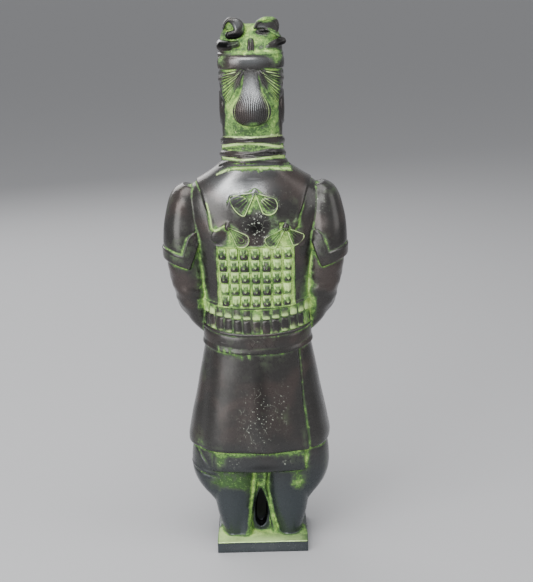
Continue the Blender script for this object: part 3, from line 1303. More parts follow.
end_plan(scales, tinted, scale_in["Metal"])
print("tree of scales:", len(scales.tree.nodes), "nodes")

# %% Hang the scales behind and before
SCALE_COLUMNS = 7
SCALE_PITCH = (7.07, 8.0)
SCALE_FLARE = 0.0018
SCALE_TOP = 204.3
SCALE_UNEVENNESS = 0.3
SCALE_ROWS = {"behind": (5, 1.0), "before": (3, -1.0)}

pieces = []
for where, (rows, facing_way) in SCALE_ROWS.items():
    middle_height = SCALE_TOP - rows * SCALE_PITCH[1] / 2 + PLATE_THICK
    for form in (plate_form, tongue_form):
        piece = grown(f"{form.name}s_{where}", scales, {
            "Guide": trunk_guide, "Scale": form, "Metal": bronze, "Columns": SCALE_COLUMNS,
            "Rows": rows, "Pitch Across": SCALE_PITCH[0] * UNIT, "Pitch Down": SCALE_PITCH[1] * UNIT,
            "Middle Height": middle_height * UNIT, "Facing": facing_way,
            "Flare": SCALE_FLARE / UNIT, "Unevenness": SCALE_UNEVENNESS * UNIT, "Seed": 3,
        })
        pieces.append(piece)
        print(piece.name, len(piece.data.polygons), "faces")

# %% [markdown]
# ## Long plates round the hips
#
# Two rows of long plates go all the way round, higher at the sides than behind. The tree casts a circle
# onto the guide, which gives a closed path on the surface, and divides that path into equal lengths.

# %% The tree that sets a row of plates round the trunk
rows_plan, row_in = geometry_plan("row_of_plates", [
    ("Guide", "NodeSocketObject", None), ("Plate", "NodeSocketObject", None),
    ("Metal", "NodeSocketMaterial", None), ("Count", "NodeSocketInt", 28),
    ("Height", "NodeSocketFloat", 0.16), ("Rise", "NodeSocketFloat", 0.004),
    ("Unevenness", "NodeSocketFloat", 0.0), ("Seed", "NodeSocketInt", 1),
])
guide_surface = rows_plan.add("GeometryNodeObjectInfo", values={"Object": row_in["Guide"]}, out="Geometry")
one_plate = rows_plan.add("GeometryNodeObjectInfo", values={"Object": row_in["Plate"]}, out="Geometry")
circle = rows_plan.add("GeometryNodeMeshCircle", values={"Vertices": 240, "Radius": 0.1})
around = rows_plan.add("ShaderNodeVectorMath", {"operation": "NORMALIZE"}, {
    0: rows_plan.add("GeometryNodeInputPosition"),
})
sideways = rows_plan.add("ShaderNodeSeparateXYZ", values={0: around})
ray_start = rows_plan.add("ShaderNodeVectorMath", {"operation": "ADD"}, {
    0: rows_plan.add("GeometryNodeInputPosition"),
    1: rows_plan.add("ShaderNodeCombineXYZ", values={
        2: row_in["Height"] + row_in["Rise"] * sideways * sideways,
    }),
})
inwards = rows_plan.add("ShaderNodeVectorMath", {"operation": "SCALE"}, {0: around, "Scale": -1.0})
cast = rows_plan.add("GeometryNodeRaycast", values={
    "Target Geometry": guide_surface, "Source Position": ray_start, "Ray Direction": inwards,
    "Ray Length": 1.0,
})
hit_place = cast.beside("Hit Position")
path = rows_plan.add("GeometryNodeMeshToCurve", values={
    "Mesh": rows_plan.add("GeometryNodeSetPosition", values={"Geometry": circle, "Position": hit_place}),
})
spots = rows_plan.add("GeometryNodeCurveToPoints", {"mode": "COUNT"}, {
    "Curve": path, "Count": row_in["Count"],
})
tangent = spots.beside("Tangent")
outwards = rows_plan.add("ShaderNodeVectorMath", {"operation": "CROSS_PRODUCT"}, {
    0: tangent, 1: (0.0, 0.0, 1.0),
})
facing = rows_plan.add("FunctionNodeAlignRotationToVector", {"axis": "Y"}, {"Vector": outwards})
upright = rows_plan.add("FunctionNodeAlignRotationToVector", {"axis": "Z", "pivot_axis": "Y"}, {
    "Rotation": facing, "Vector": (0.0, 0.0, 1.0),
})
sizes = rows_plan.add("FunctionNodeRandomValue", {"data_type": "FLOAT"}, {
    2: 1.0 - row_in["Unevenness"], 3: 1.0 + row_in["Unevenness"], "Seed": row_in["Seed"],
}, out=1)
set_row = rows_plan.add("GeometryNodeInstanceOnPoints", values={
    "Points": spots, "Instance": one_plate, "Rotation": upright,
    "Scale": rows_plan.add("ShaderNodeCombineXYZ", values={0: sizes, 1: 1.0, 2: sizes}),
})
luck = rows_plan.add("FunctionNodeRandomValue", {"data_type": "FLOAT"}, {
    2: -0.3, 3: 0.3, "Seed": row_in["Seed"] + 1,
}, out=1)
tinted = rows_plan.add("GeometryNodeStoreNamedAttribute", {"data_type": "FLOAT", "domain": "INSTANCE"}, {
    "Geometry": set_row, "Name": "luck", "Value": luck,
})
end_plan(rows_plan, tinted, row_in["Metal"])
print("tree of plates:", len(rows_plan.tree.nodes), "nodes")

# %% Set the two rows of plates
PLATES_ROUND = 32
PLATE_UNEVENNESS = 0.05
# Each row's upper end behind and the length of its plates
UPPER_ROW, LOWER_ROW = (163.2, 7.6), (155.0, 9.6)


def long_plate(name, length, half, green):
    return stamped(name, [
        (-length / 2, half * 0.86, 0.9), (-length * 0.40, half, 1.35), (-length * 0.12, half, 1.1),
        (length * 0.30, half, 0.9), (length / 2, half * 0.94, 0.7),
    ], green, 1.3)


upper_form = long_plate("upper_plate", UPPER_ROW[1], 2.9, (1.6, 1.3, 1.0, 1.0, 1.25))
lower_form = long_plate("lower_plate", LOWER_ROW[1], 2.95, (1.6, 1.15, 0.65, 0.6, 1.0))
for form, (top, length) in ((upper_form, UPPER_ROW), (lower_form, LOWER_ROW)):
    piece = grown(form.name + "s", rows_plan, {
        "Guide": trunk_guide, "Plate": form, "Metal": bronze, "Count": PLATES_ROUND,
        "Height": (top - length / 2 + PLATE_THICK) * UNIT, "Rise": PLATE_ROW_RISE * UNIT,
        "Unevenness": PLATE_UNEVENNESS, "Seed": 5,
    })
    pieces.append(piece)
    print(piece.name, len(piece.data.polygons), "faces")
for form in (plate_form, tongue_form, upper_form, lower_form, trunk_guide):
    bpy.data.objects.remove(form)

# %% [markdown]
# ## Fine ridges laid on the casting
#
# Combed hair and the pleats of the bows are fine ridges that follow the surface. Their courses are short
# lists of places seen from behind or before. One tree smooths each course, casts it onto the casting and
# sweeps a thin round profile along it, thinner towards the ends.

# %% The tree that lays ridges on a surface
ridges, ridge_in = geometry_plan("ridges_on_a_surface", [
    ("Geometry", "NodeSocketGeometry", None), ("Surface", "NodeSocketObject", None),
    ("Metal", "NodeSocketMaterial", None), ("Thickness", "NodeSocketFloat", 0.0005),
    ("Taper", "NodeSocketFloat", 0.5), ("Step", "NodeSocketFloat", 0.0006),
    ("Facing", "NodeSocketFloat", 1.0), ("Sides", "NodeSocketInt", 6),
    ("Green", "NodeSocketFloat", 0.3),
])
surface = ridges.add("GeometryNodeObjectInfo", values={"Object": ridge_in["Surface"]}, out="Geometry")
courses = ridges.add("GeometryNodeResampleCurve", {"mode": "LENGTH"}, {
    "Curve": ridge_in["Geometry"], "Length": ridge_in["Step"],
})
towards = ridges.add("ShaderNodeCombineXYZ", values={1: 0.0 - ridge_in["Facing"]})
cast = ridges.add("GeometryNodeRaycast", values={
    "Target Geometry": surface, "Source Position": ridges.add("GeometryNodeInputPosition"),
    "Ray Direction": towards, "Ray Length": 1.0,
})
hit_place = cast.beside("Hit Position")
laid = ridges.add("GeometryNodeSetPosition", values={"Geometry": courses, "Position": hit_place})
along = ridges.add("GeometryNodeSplineParameter")
ends = along * (1.0 - along) * 4.0
slimness = ends.maths("POWER", ends, ridge_in["Taper"])
profile = ridges.add("GeometryNodeCurvePrimitiveCircle", values={
    "Resolution": ridge_in["Sides"], "Radius": ridge_in["Thickness"],
})
swept = ridges.add("GeometryNodeCurveToMesh", values={
    "Curve": laid, "Profile Curve": profile, "Scale": slimness, "Fill Caps": True,
})
greened = ridges.add("GeometryNodeStoreNamedAttribute", {"data_type": "FLOAT", "domain": "POINT"}, {
    "Geometry": swept, "Name": "green", "Value": ridge_in["Green"],
})
end_plan(ridges, greened, ridge_in["Metal"])
print("tree of ridges:", len(ridges.tree.nodes), "nodes")

# %% Curves from courses
def curve_of(name, courses, facing_way):
    """A curve object's data with one straight-run spline for each course of (x, height) places."""
    data = bpy.data.curves.new(name, "CURVE")
    data.dimensions = "3D"
    for course in courses:
        spline = data.splines.new("POLY")
        spline.points.add(len(course) - 1)
        for point, (x, height) in zip(spline.points, course):
            point.co = (x * UNIT, 0.1 * facing_way, (height + PLATE_THICK) * UNIT, 1)
    return data


print("courses can become curves")

# %% Strands of the folded and the combed hair
def folded_hair(share, steps=24):
    """A strand down the pear-shaped fold, at a share of its half width."""
    heights = np.linspace(320.0, 284.8, steps)
    half = between(PEAR, heights)[2]
    return [(share * width, height) for width, height in zip(half, heights)]


FAN_START = (5.0, 319.6)
FAN_ENDS = [
    (14.0, 299.8), (15.4, 297.6), (17.0, 297.0), (18.2, 298.5), (19.0, 302.0), (19.4, 306.0), (19.5, 310.0),
    (19.4, 313.5), (18.6, 316.6),
]


def combed_hair(side, end, start=FAN_START, steps=14):
    shares = np.linspace(0, 1, steps)
    xs = start[0] + (end[0] - start[0]) * shares**1.15
    heights = start[1] + (end[1] - start[1]) * shares**0.9
    return [(side * x, height) for x, height in zip(xs, heights)]


fold_shares = np.linspace(-0.86, 0.86, 17)
fan_shares = np.linspace(0, len(FAN_ENDS) - 1, 27)
end_xs, end_heights = (np.interp(fan_shares, range(len(FAN_ENDS)), axis) for axis in zip(*FAN_ENDS))
all_ends = list(zip(end_xs, end_heights))
fan_ends, pale_ends = all_ends[0::2], all_ends[1::2]
print("strands:", len(fold_shares), "down the fold and", 2 * len(all_ends), "in the fans")

# %% Pleats of the bows and creases of the belt
NARROW_LOOP = 5
# Creases on the belt: where each starts and how far it leans on its way down
CREASE_LEANS = ((6.4, -3.2), (0.8, 3.6), (-3.6, -3.0), (-8.8, -3.4))
LEVEL_CREASE = [(28.0, 139.6), (25.0, 140.2), (22.4, 139.4), (18.6, 139.8)]


def pleats(knot, loop, count=4):
    """Lines that fan out from the knot over one loop of a bow."""
    lean, length, half_width, roundness = loop
    c, s = math.cos(math.radians(lean)), math.sin(math.radians(lean))
    lines = []
    for number in range(count):
        spread = (number - (count - 1) / 2) / count
        reach = length * (0.93 - 0.2 * roundness * abs(spread))
        course = []
        for share in np.linspace(0.16, 1.0, 9):
            a, b = 1.9 * half_width * spread * share**0.9, -reach * share
            course.append((knot[0] + c * a - s * b, knot[1] + s * a + c * b))
        lines.append(course)
    return lines


pleat_courses, edge_courses, front_pleats = [], [], []
for knot, loops in BOWS_BEHIND.items():
    for loop in loops:
        _, _, half_width, roundness = loop
        edge_courses.append(loop_outline(knot, loop))
        if roundness == 1.0 and half_width < NARROW_LOOP:
            pleat_courses += [loop_outline(knot, loop, shrink) for shrink in (0.66, 0.32)]
        else:
            pleat_courses += pleats(knot, loop, 4)
for knot, loops in BOWS_BEFORE.items():
    for loop in loops:
        front_pleats += pleats(knot, loop, 3)
belt_creases = [[(x, 142.6), (x + lean * 0.5, 139.4), (x + lean, 136.2)] for x, lean in CREASE_LEANS]
belt_creases.append(LEVEL_CREASE)
print("pleats:", len(pleat_courses), "behind and", len(front_pleats), "before")
print("creases on the belt:", len(belt_creases))

# %% Lay the strands, pleats and creases on the casting
STRAND_STEP = 0.8
# For each group: its courses, which way it faces, thickness, taper and how green it is
STRAND_GROUPS = {
    "folded_hair": ([folded_hair(share) for share in fold_shares], 1.0, 0.52, 0.35, 1.1),
    "combed_hair": ([combed_hair(s, end) for s in (1, -1) for end in fan_ends], 1.0, 0.56, 0.5, 0.6),
    "combed_hair_between": ([combed_hair(s, end) for s in (1, -1) for end in pale_ends], 1.0, 0.38, 0.5, 1.3),
    "bow_pleats_behind": (pleat_courses, 1.0, 0.36, 0.6, 1.35),
    "bow_edges_behind": (edge_courses, 1.0, 0.36, 0.3, 1.45),
    "belt_creases": (belt_creases, 1.0, 0.34, 0.8, 0.95),
    "bow_pleats_before": (front_pleats, -1.0, 0.42, 0.4, 0.6),
}
for name, (courses, facing_way, thickness, taper, green) in STRAND_GROUPS.items():
    piece = grown(name, ridges, {
        "Surface": statue, "Metal": bronze, "Thickness": thickness * UNIT, "Taper": taper,
        "Step": STRAND_STEP * UNIT, "Facing": facing_way, "Green": green,
    }, curve_of(name, courses, facing_way))
    pieces.append(piece)
    print(name, len(courses), "ridges,", len(piece.data.polygons), "faces")

# %% [markdown]
# ## Painting the patina
#
# How green a place is comes from three things: how hollow it is, what was stored on the small forms, and
# where more was left or wiped away on this statue. The last is a list of soft patches. The result is
# stored on the points of every piece, so that the shader only has to break it up.

# %% Where green was left and where it was wiped away
# Soft patches as (centre, radii, amount). More than 0 is green that was left, less was wiped away
GREEN_PATCHES = {
    "cap": [
        ((0, 8, 340), (25, 20, 9), 1.0), ((0, 8, 346.5), (4, 6, 3), 0.8), ((13, 11, 346.8), (2.6, 6, 3), 0.6),
        ((8.3, 13, 347), (2.6, 5, 4.4), -1.8), ((11, 13, 340.6), (5.6, 5, 2.7), -2.2),
        ((14, 12, 350), (5, 6, 2.2), -0.5), ((-10, 13, 350.8), (9, 6, 1.8), 1.2),
        ((-7.7, 13, 346.2), (3.4, 5, 1.8), -1.6), ((-8, 13, 342.5), (4.4, 5, 1.5), -2.4),
        ((-16.5, 12, 346.4), (3.2, 6, 3), -1.2), ((-18.5, 11, 335.8), (4.6, 7, 2.6), -2.2),
        ((-21, 8, 340.5), (3, 7, 3), -0.6), ((19, 8, 334), (4.8, 11, 4.2), -2.2),
        ((18.5, 8, 338.6), (2.2, 6, 1.5), 0.9), ((12, 16, 331.3), (7, 5, 1.2), -0.5),
        ((0.9, 19, 334), (0.8, 4, 3.2), -1.6), ((-1.7, 19, 334), (0.8, 4, 3.2), -1.6),
        ((0, 20, 329.8), (24, 9, 1.7), 1.0), ((0, -12, 340), (26, 10, 14), -0.5),
    ],
    "head band": [
        ((1, 21, 324.2), (14, 7, 3.4), -1.1), ((-16, 15, 326), (5.5, 9, 4), 0.8),
        ((18, 12, 325), (5, 9, 4), 0.7), ((0, -6, 325), (24, 20, 4), -0.3),
    ],
    "hair": [
        ((12.5, 17, 309), (8, 8, 11), 0.7), ((-12.5, 17, 309), (8, 8, 11), 0.7),
        ((14.5, 16, 293), (5.5, 9, 15), 0.8), ((-14.5, 16, 293), (5.5, 9, 15), 0.8),
        ((0, 16, 279), (22, 12, 5), 0.7), ((19.6, 5, 293), (2.4, 7, 11), -1.3),
        ((-19.6, 5, 293), (2.4, 7, 11), -1.3), ((0, 22, 307), (5.0, 8, 14), -1.2),
        ((0, 24, 293), (11.5, 6, 8.5), -1.3), ((0, 24, 285), (6, 5, 2.4), 1.3),
    ],
    "scarf and cape": [
        ((0, 14, 265), (30, 20, 9), 0.35), ((0, 18, 248), (30, 14, 5), -0.4),
        ((28.6, 22, 221), (2.2, 6, 6), 0.2), ((25.5, 24, 216.5), (4, 6, 2.2), 0.5),
        ((-28.5, 22, 220), (4, 6, 6), 0.45), ((-34, 16, 239), (5, 12, 12), -0.3),
        ((17.4, 26, 208), (4, 5, 4.4), 0.5), ((-20.0, 26, 207.5), (4.0, 5, 4.6), 1.1),
        ((13, 26, 213), (6, 6, 8), 0.35), ((-13, 26, 214), (7, 6, 8), 0.45), ((-1, 26, 232), (8, 6, 7), 0.45),
        ((-12, 26, 225), (3, 6, 5), 0.3), ((-1, 27, 216), (6.4, 6, 8), -0.8),
        ((24, 24, 211), (4.4, 6, 4), -0.7), ((-29, 24, 208), (3.0, 6, 4), -0.5),
    ],
    "arms": [
        ((37, 16, 203), (6, 8, 12), 0.26), ((-37, 16, 200), (4.6, 8, 12), 0.2),
        ((-35.5, 15, 183), (4, 8, 14), 0.12), ((38, 12, 184), (5, 9, 14), 0.26),
        ((39, 14, 226), (6, 12, 20), -0.3), ((-39, 14, 228), (6, 12, 18), -0.3),
        ((34.5, 12, 168), (3.5, 9, 7), 0.6), ((-35, 12, 170), (4.5, 9, 8), 0.6),
        ((-35, 12, 157), (5, 9, 8), 0.7), ((48, 20, 202), (6, 4, 8), 0.2), ((-45, 20, 206), (5, 4, 9), 0.25),
        ((44, 19, 212), (7, 5, 14), 0.16),
    ],
    "skirt": [
        ((-31, 24, 80), (2.0, 12, 18), 0.35), ((-28.6, 26, 120), (1.6, 10, 24), 0.15),
        ((14, 30, 63.6), (17, 7, 1.7), 0.6), ((-18, 30, 63.2), (12, 7, 1.7), 0.5),
        ((28, 27, 58), (3.6, 8, 8), 0.5), ((-31, 24, 57), (2.4, 10, 9), 0.6),
        ((-22, 28, 58), (8, 6, 4), 0.25), ((-4, 31, 55), (12, 7, 4.5), -0.4),
        ((24, 28, 134), (12, 8, 2.4), 0.25),
    ],
    "legs and plate": [
        ((19, 22, 40.5), (14, 12, 6.5), 0.9), ((-24.5, 21, 39), (5.5, 9, 7), 0.95),
        ((0, 16, 38), (6, 9, 9), 0.4), ((0, 17, 22), (8, 4, 16), 0.4), ((0.7, 4, 16), (5, 6, 13), -1.0),
        ((6.5, 19, 9), (2.6, 5, 8), 0.7), ((-5.5, 19, 9), (2.6, 5, 8), 0.7),
        ((0.4, 8, 16), (4.0, 8.0, 13), -2.2), ((-18.5, 20, 20), (8.6, 10, 15), -1.0),
        ((19, 20, 18), (8.6, 10, 15), -1.0), ((1, 16, 2), (9, 8, 4), 0.6), ((30, 22, 0), (4, 12, 3.4), 0.4),
        ((-29.5, 22, 0), (4, 12, 3.6), 0.4), ((19, 26, 0), (12, 3, 2.4), 0.3),
        ((-19, 26, 0), (12, 3, 2.4), 0.3), ((0, 33, 0), (44, 2.6, 2), -0.45), ((33, 10, 0), (2, 40, 2), -0.3),
        ((-33, 10, 0), (2, 40, 2), -0.3),
    ],
    "before": [((0, -29, 300), (30, 14, 26), -0.45), ((0, -36, 162), (14, 6, 9), -0.4)],
}
print("patches of green:", {part: len(patches) for part, patches in GREEN_PATCHES.items()})

# %% Lines of green and of bare pale edges
def on_scarf(number, lift):
    """The course behind of one turn of the scarf, raised or lowered, as (x, height)."""
    height, half_width, half_depth, thick = SCARF_TURNS[number]
    angles = np.radians(np.linspace(4, 176, 30))
    phase = TURN_PHASE * number
    course = [turn_course(height, half_width + thick, half_depth, phase, angle) for angle in angles]
    return [(x, z + lift) for x, y, z in course]


CAPE_EDGE = [(31.2, 233.6), (29, 224), (28.2, 217.5), (26, 216), (23.1, 217.4), (20.1, 219.2)]
# Drips of green under the belt, as (x, where each starts, how far it runs down)
BELT_DRIPS = [
    (26.5, 136.6, 2.4), (22.6, 135.4, 3.4), (19.0, 134.8, 2.0), (16.2, 134.2, 3.0), (11.0, 133.4, 3.6),
    (6.0, 133.2, 2.6),
]
# Lines of green seen from behind, as (course of (x, height), reach, amount)
GREEN_LINES = [
    (on_scarf(0, -0.2), 1.5, -1.3), (on_scarf(2, 0.1), 1.6, -1.3), (on_scarf(3, 0.6), 1.9, -0.35),
    (on_scarf(1, 0.4), 1.1, 0.6), (on_scarf(2, -3.2), 0.9, 0.8), (on_scarf(3, -3.5), 1.2, 1.0),
    *[([(x, top), (x - 0.4, top - fall)], 0.5, 0.8) for x, top, fall in BELT_DRIPS],
    ([(3.6, 46), (5.4, 33), (8.8, 14), (10.4, 2)], 1.3, 0.6),
    ([(-2.6, 46), (-1.6, 33), (-5.2, 20), (-7.4, 11), (-9.4, 2)], 1.3, 0.7),
    (CAPE_EDGE, 0.8, 0.6),
    ([(-1.1, 237.6), (3.3, 227.5)], 0.8, 0.45), ([(-1.1, 237.6), (-5.4, 229.6), (-10.7, 225.9)], 0.8, 0.45),
    ([(-12, 343.5), (-19.4, 339.4)], 0.8, 0.9), ([(31, -0.2), (-31, -0.2)], 0.45, 0.5),
]
# Pale lines on edges seen from behind
PALE_LINES = [
    (on_scarf(0, 1.7), 0.5, 0.7), (on_scarf(1, 1.3), 0.6, 0.9), (on_scarf(2, -2.6), 0.5, 0.6),
    (on_scarf(3, -3.5), 0.5, 0.6), ([(30, -0.5), (-30, -0.5)], 0.4, 0.7), (CAPE_EDGE, 0.45, 0.7),
]
print("lines:", len(GREEN_LINES), "green and", len(PALE_LINES), "pale")

# %% Places that are polished, blackened, dull or dusty
# Places on the casting rubbed bright, or blackened where less than 0
POLISHED = [
    ((0, 21, 325), (13, 7, 3), 0.7), ((8, 20, 244), (20, 14, 9), 1.0), ((8.3, 13, 347), (2.4, 5, 4), 0.9),
    ((-7.7, 13, 346.2), (3, 5, 1.6), 0.7), ((0, 26, 306), (5, 9, 12), 0.25), ((0, 20, 256), (20, 8, 3), 0.6),
    ((14.5, 13, 336.4), (9, 14, 4), -1.4), ((-1, 32, 104), (8, 12, 34), -0.55),
    ((-19, 10, 335), (5, 8, 3), -1.0), ((-1, 27, 218), (8, 6, 8), -0.75),
    ((-2, 31, 54), (20, 7, 3.2), -0.5), ((0.7, 6, 16), (5, 7, 13), -1.2),
    ((8, 11, 341), (9, 6, 3), -0.8), ((-8, 13, 342.5), (4.4, 5, 1.5), -1.0), ((0.4, 8, 16), (4, 8, 13), -1.0),
    ((0, 31, -4.5), (36, 6, 4), 0.3),
]
# The same for what is laid on the casting
POLISHED_STRANDS = [((0, 26, 304), (6.5, 9, 11), 1.5)]
# Places where the green is deep and dull
SHADED = [
    ((19, 22, 40), (16, 14, 9), 0.32), ((0, 16, 36), (7, 10, 12), 0.04), ((0, 18, 279), (20, 12, 5), 0.1),
    ((15, 16, 311), (9, 9, 9), 0.08), ((-15, 16, 311), (9, 9, 9), 0.08), ((0, 31, 58), (34, 8, 6), 0.08),
    ((0, 30, 0), (46, 12, 3), 0.34), ((0, 12, 340), (26, 12, 12), 0.06), ((-2, 30, 0), (7, 9, 3), 0.3),
    ((21, 34, 0), (8, 4, 3), 0.25), ((-26, 28, 0), (5, 9, 3), 0.2),
]
# Places sprinkled with pale dust
DUSTED = [
    ((2, 32, 88), (16, 10, 26), 0.85), ((-17, 30, 100), (6, 10, 24), 0.4), ((-1, 27, 217), (7.6, 6, 11), 1.7),
    ((-42, 14, 232), (12, 12, 12), 0.45), ((-18, 24, 238), (10, 8, 9), 0.5), ((18, 30, 56), (5, 6, 5), 0.8),
    ((-17, 30, 56), (5, 6, 5), 0.8), ((0, 30, 141), (16, 8, 6), 0.4), ((0, 0, 180), (80, 60, 190), 0.2),
    ((0, 31, -4), (36, 6, 5), 0.4),
]
print("places:", len(POLISHED), "polished or black,", len(SHADED), "dull,", len(DUSTED), "dusty")

# %% Sums of soft patches and of soft lines
def soft_patches(points, patches):
    """The sum of round patches that fade outwards."""
    total = np.zeros(len(points))
    for centre, radii, amount in patches:
        away = sum(((axis - c) / r) ** 2 for axis, c, r in zip(points.T, centre, radii))
        total += amount * np.exp(-away)
    return total


def soft_lines(points, lines):
    """The sum of lines that fade sideways. They lie on the back only."""
    total = np.zeros(len(points))
    seen = points[:, [0, 2]]
    for course, reach, amount in lines:
        nearest = np.full(len(points), np.inf)
        for start, end in zip(np.array(course, float), np.array(course, float)[1:]):
            run = end - start
            share = np.clip((seen - start) @ run / (run @ run), 0, 1)
            nearest = np.minimum(nearest, np.linalg.norm(seen - start - share[:, None] * run, axis=1))
        total += amount * np.exp(-((nearest / reach) ** 2))
    return total * (points[:, 1] > 4)


print("patches and lines can be summed")

# %% How green a place is
MOTTLE_SIZE = 6.0
MOTTLE_SEED = 21
FIELD_TOP = 205.4
# The belt of long plates in heights at the sides: its foot, where its upper row starts, and its top
BELT_LEVELS = (149, 159.6, 168)
PLATE_TOP = (-0.6, 1.2)
# For each size of hollow: how closed in a place is before it turns green, and how fast it does then
HOLLOW_GREEN = {"fine": (0.12, 1.8), "middle": (0.06, 0.55), "wide": (0.1, 0.35)}
mottle = np.random.default_rng(MOTTLE_SEED).normal(0, 1, (28, 20, 66)).astype(np.float32)
mottle = averaged(mottle, 1)
mottle = np.clip(0.5 + 0.3 * mottle / mottle.std(), 0, 1)


def patina_at(points, stored):
    """How green each place is, and how pale its edges are."""
    x, y, z = points.T
    closed = {name: hollow(name, points) for name in HOLLOW_GREEN}
    fine, middle = closed["fine"], closed["middle"]
    green = sum(rate * np.maximum(closed[name] - start, 0) for name, (start, rate) in HOLLOW_GREEN.items())
    spread = read_samples(mottle, (points - clay.corner * GRAIN) / MOTTLE_SIZE + 1)
    green = np.minimum(green * (0.6 + 0.8 * spread), 0.95) * np.where(z < 2.6, 0.4, 1.0)
    if stored is None:
        green -= 0.5 * np.clip(-middle, 0, 0.5) + 0.25 * np.clip(-fine, 0, 0.6)
    for patches in GREEN_PATCHES.values():
        green += soft_patches(points, patches)
    green += soft_lines(points, GREEN_LINES) * (0.5 + spread)
    behind = y > 0
    above_foot = z > np.where(behind, FIELD_BEHIND[0], FIELD_BEFORE[0])
    field = (np.abs(x) < FIELD_HALF + 0.4) & above_foot & (z < FIELD_TOP)
    green += np.where(field & (np.abs(y) > 10), np.where(behind, 0.9, 0.5), 0)
    level = z + dip_at(y, PLATE_ROW_RISE)
    belt_foot, upper_row, belt_top = BELT_LEVELS
    in_belt = (np.abs(x) < 40) & (level > belt_foot) & (level < belt_top)
    green += np.where(in_belt, np.where(level > upper_row, 0.4, 0.1), 0)
    top_of_plate = (z > PLATE_TOP[0]) & (z < PLATE_TOP[1])
    green += 0.25 * top_of_plate - 0.6 * (z < -0.9)
    thin_ridge = np.clip(-2.8 * fine - 0.24, 0, 1)
    if stored is None:
        return green, thin_ridge * np.clip(1 + 4 * middle, 0, 1) + soft_lines(points, PALE_LINES)
    return green + stored - 1, thin_ridge * np.clip(stored - 0.6, 0, 0.5)


print("mottle:", mottle.shape, "samples of", MOTTLE_SIZE, "units")

# %% Paint every piece
def stored_values(mesh, name):
    """A stored value for each point, or nothing where the piece has none."""
    if name not in mesh.attributes:
        return None
    values = np.empty(len(mesh.vertices), np.float32)
    mesh.attributes[name].data.foreach_get("value", values)
    return values


def paint(piece):
    mesh = piece.data
    co = np.empty(len(mesh.vertices) * 3, np.float32)
    mesh.vertices.foreach_get("co", co)
    points = to_units(co.reshape(-1, 3))
    stored, luck = stored_values(mesh, "green"), stored_values(mesh, "luck")
    if luck is not None:
        stored = stored + luck
    green, pale = patina_at(points, stored)
    polish = soft_patches(points, POLISHED if piece is statue else POLISHED_STRANDS)
    layers = {
        "corrosion": np.clip(green, -1, 1.35), "rubbed": pale, "polish": np.clip(polish, -1, 1),
        "dust": np.clip(soft_patches(points, DUSTED), 0, 1.5), "shade": soft_patches(points, SHADED),
    }
    for name, values in layers.items():
        layer = mesh.attributes.new(name, "FLOAT", "POINT")
        layer.data.foreach_set("value", values.astype(np.float32))


for piece in [statue, *pieces]:
    paint(piece)
print("painted", 1 + len(pieces), "pieces")

# %% [markdown]
# ## The metal
#
# Patinated bronze is two materials in one. Where it was wiped it is a dark lacquer-like brown or
# blue-black with a soft sheen. Where green was left it is a dull powder. One mask, broken up by noise
# at three sizes, chooses between them, and every other value follows that mask.

# %% Colours, stored values and noise
def colour_mix(plan, factor, first, second):
    return plan.add(
        "ShaderNodeMix", {"data_type": "RGBA"}, {0: factor, 6: first, 7: second}, out=2,
    )


def noise(plan, place, size, detail=2.0, rough=0.5):
    """Noise from 0 to 1 whose blobs are about the given size in units."""
    return plan.add("ShaderNodeTexNoise", values={
        "Vector": place, "Scale": 1 / (size * UNIT), "Detail": detail, "Roughness": rough,
    })


WARM_BROWN = (0.066, 0.054, 0.050, 1)
BLACK_BROWN = (0.046, 0.044, 0.042, 1)
BLUE_BLACK = (0.050, 0.059, 0.064, 1)
BARE_GREY = (0.300, 0.310, 0.315, 1)
HAZE_GREEN = (0.110, 0.150, 0.085, 1)
DEEP_GREEN = (0.040, 0.090, 0.026, 1)
LEAF_GREEN = (0.140, 0.280, 0.065, 1)
YELLOW_GREEN = (0.370, 0.560, 0.130, 1)
PALE_GREEN = (0.560, 0.780, 0.290, 1)
BLACKENED = (0.012, 0.012, 0.012, 1)
PALE_DUST = (0.460, 0.500, 0.410, 1)

bronze.node_tree.nodes.clear()
metal = Plan(bronze.node_tree)
place = metal.add("ShaderNodeTexCoord", out="Object")
corrosion, rubbed, polish, dust, shade = (
    metal.add("ShaderNodeAttribute", {"attribute_name": name}, out="Fac")
    for name in ("corrosion", "rubbed", "polish", "dust", "shade")
)
broad, blotch = noise(metal, place, 22, 2), noise(metal, place, 4.0, 4, 0.62)
grit, fleck = noise(metal, place, 0.9, 3, 0.6), noise(metal, place, 1.5, 3, 0.7)
print("values and noise read")

# %% [markdown]
# The green is a powder of copper salts, deep where it is thin, yellower and paler where it lies thick. So
# its amount picks one of four greens, and flecks of the palest and the deepest are strewn over it.

# %% Green powder
# Noise breaks up the green only where there is some, so that wiped metal stays clean
uneven = (blotch - 0.5) * 1.1 + (grit - 0.5) * 0.6
amount = corrosion + uneven * corrosion.past(0.02, 0.35)
haze = (corrosion + (blotch - 0.5) * 0.7).past(0.04, 0.55)
green_mask = amount.past(0.24, 0.56)
powder = amount * 0.72 + (grit - 0.5) * 0.6 + (blotch - 0.5) * 0.6 + (broad - 0.5) * 0.5 - 0.13 - shade
green_low = colour_mix(metal, powder.past(0.12, 0.42), DEEP_GREEN, LEAF_GREEN)
green_high = colour_mix(metal, powder.past(0.42, 0.76), green_low, YELLOW_GREEN)
green_even = colour_mix(metal, powder.past(0.74, 1.05), green_high, PALE_GREEN)
flecked = colour_mix(metal, fleck.past(0.63, 0.70) * 0.6, green_even, PALE_GREEN)
green_colour = colour_mix(metal, (1 - fleck.past(0.31, 0.38)) * 0.75, flecked, DEEP_GREEN)
print("green ready")

# %% [markdown]
# Under the green is the founder's stain, blue-black low down and warmer above. Where cloth rubbed often it
# is worn to bare grey, and a thin haze of green is left beside the thick.

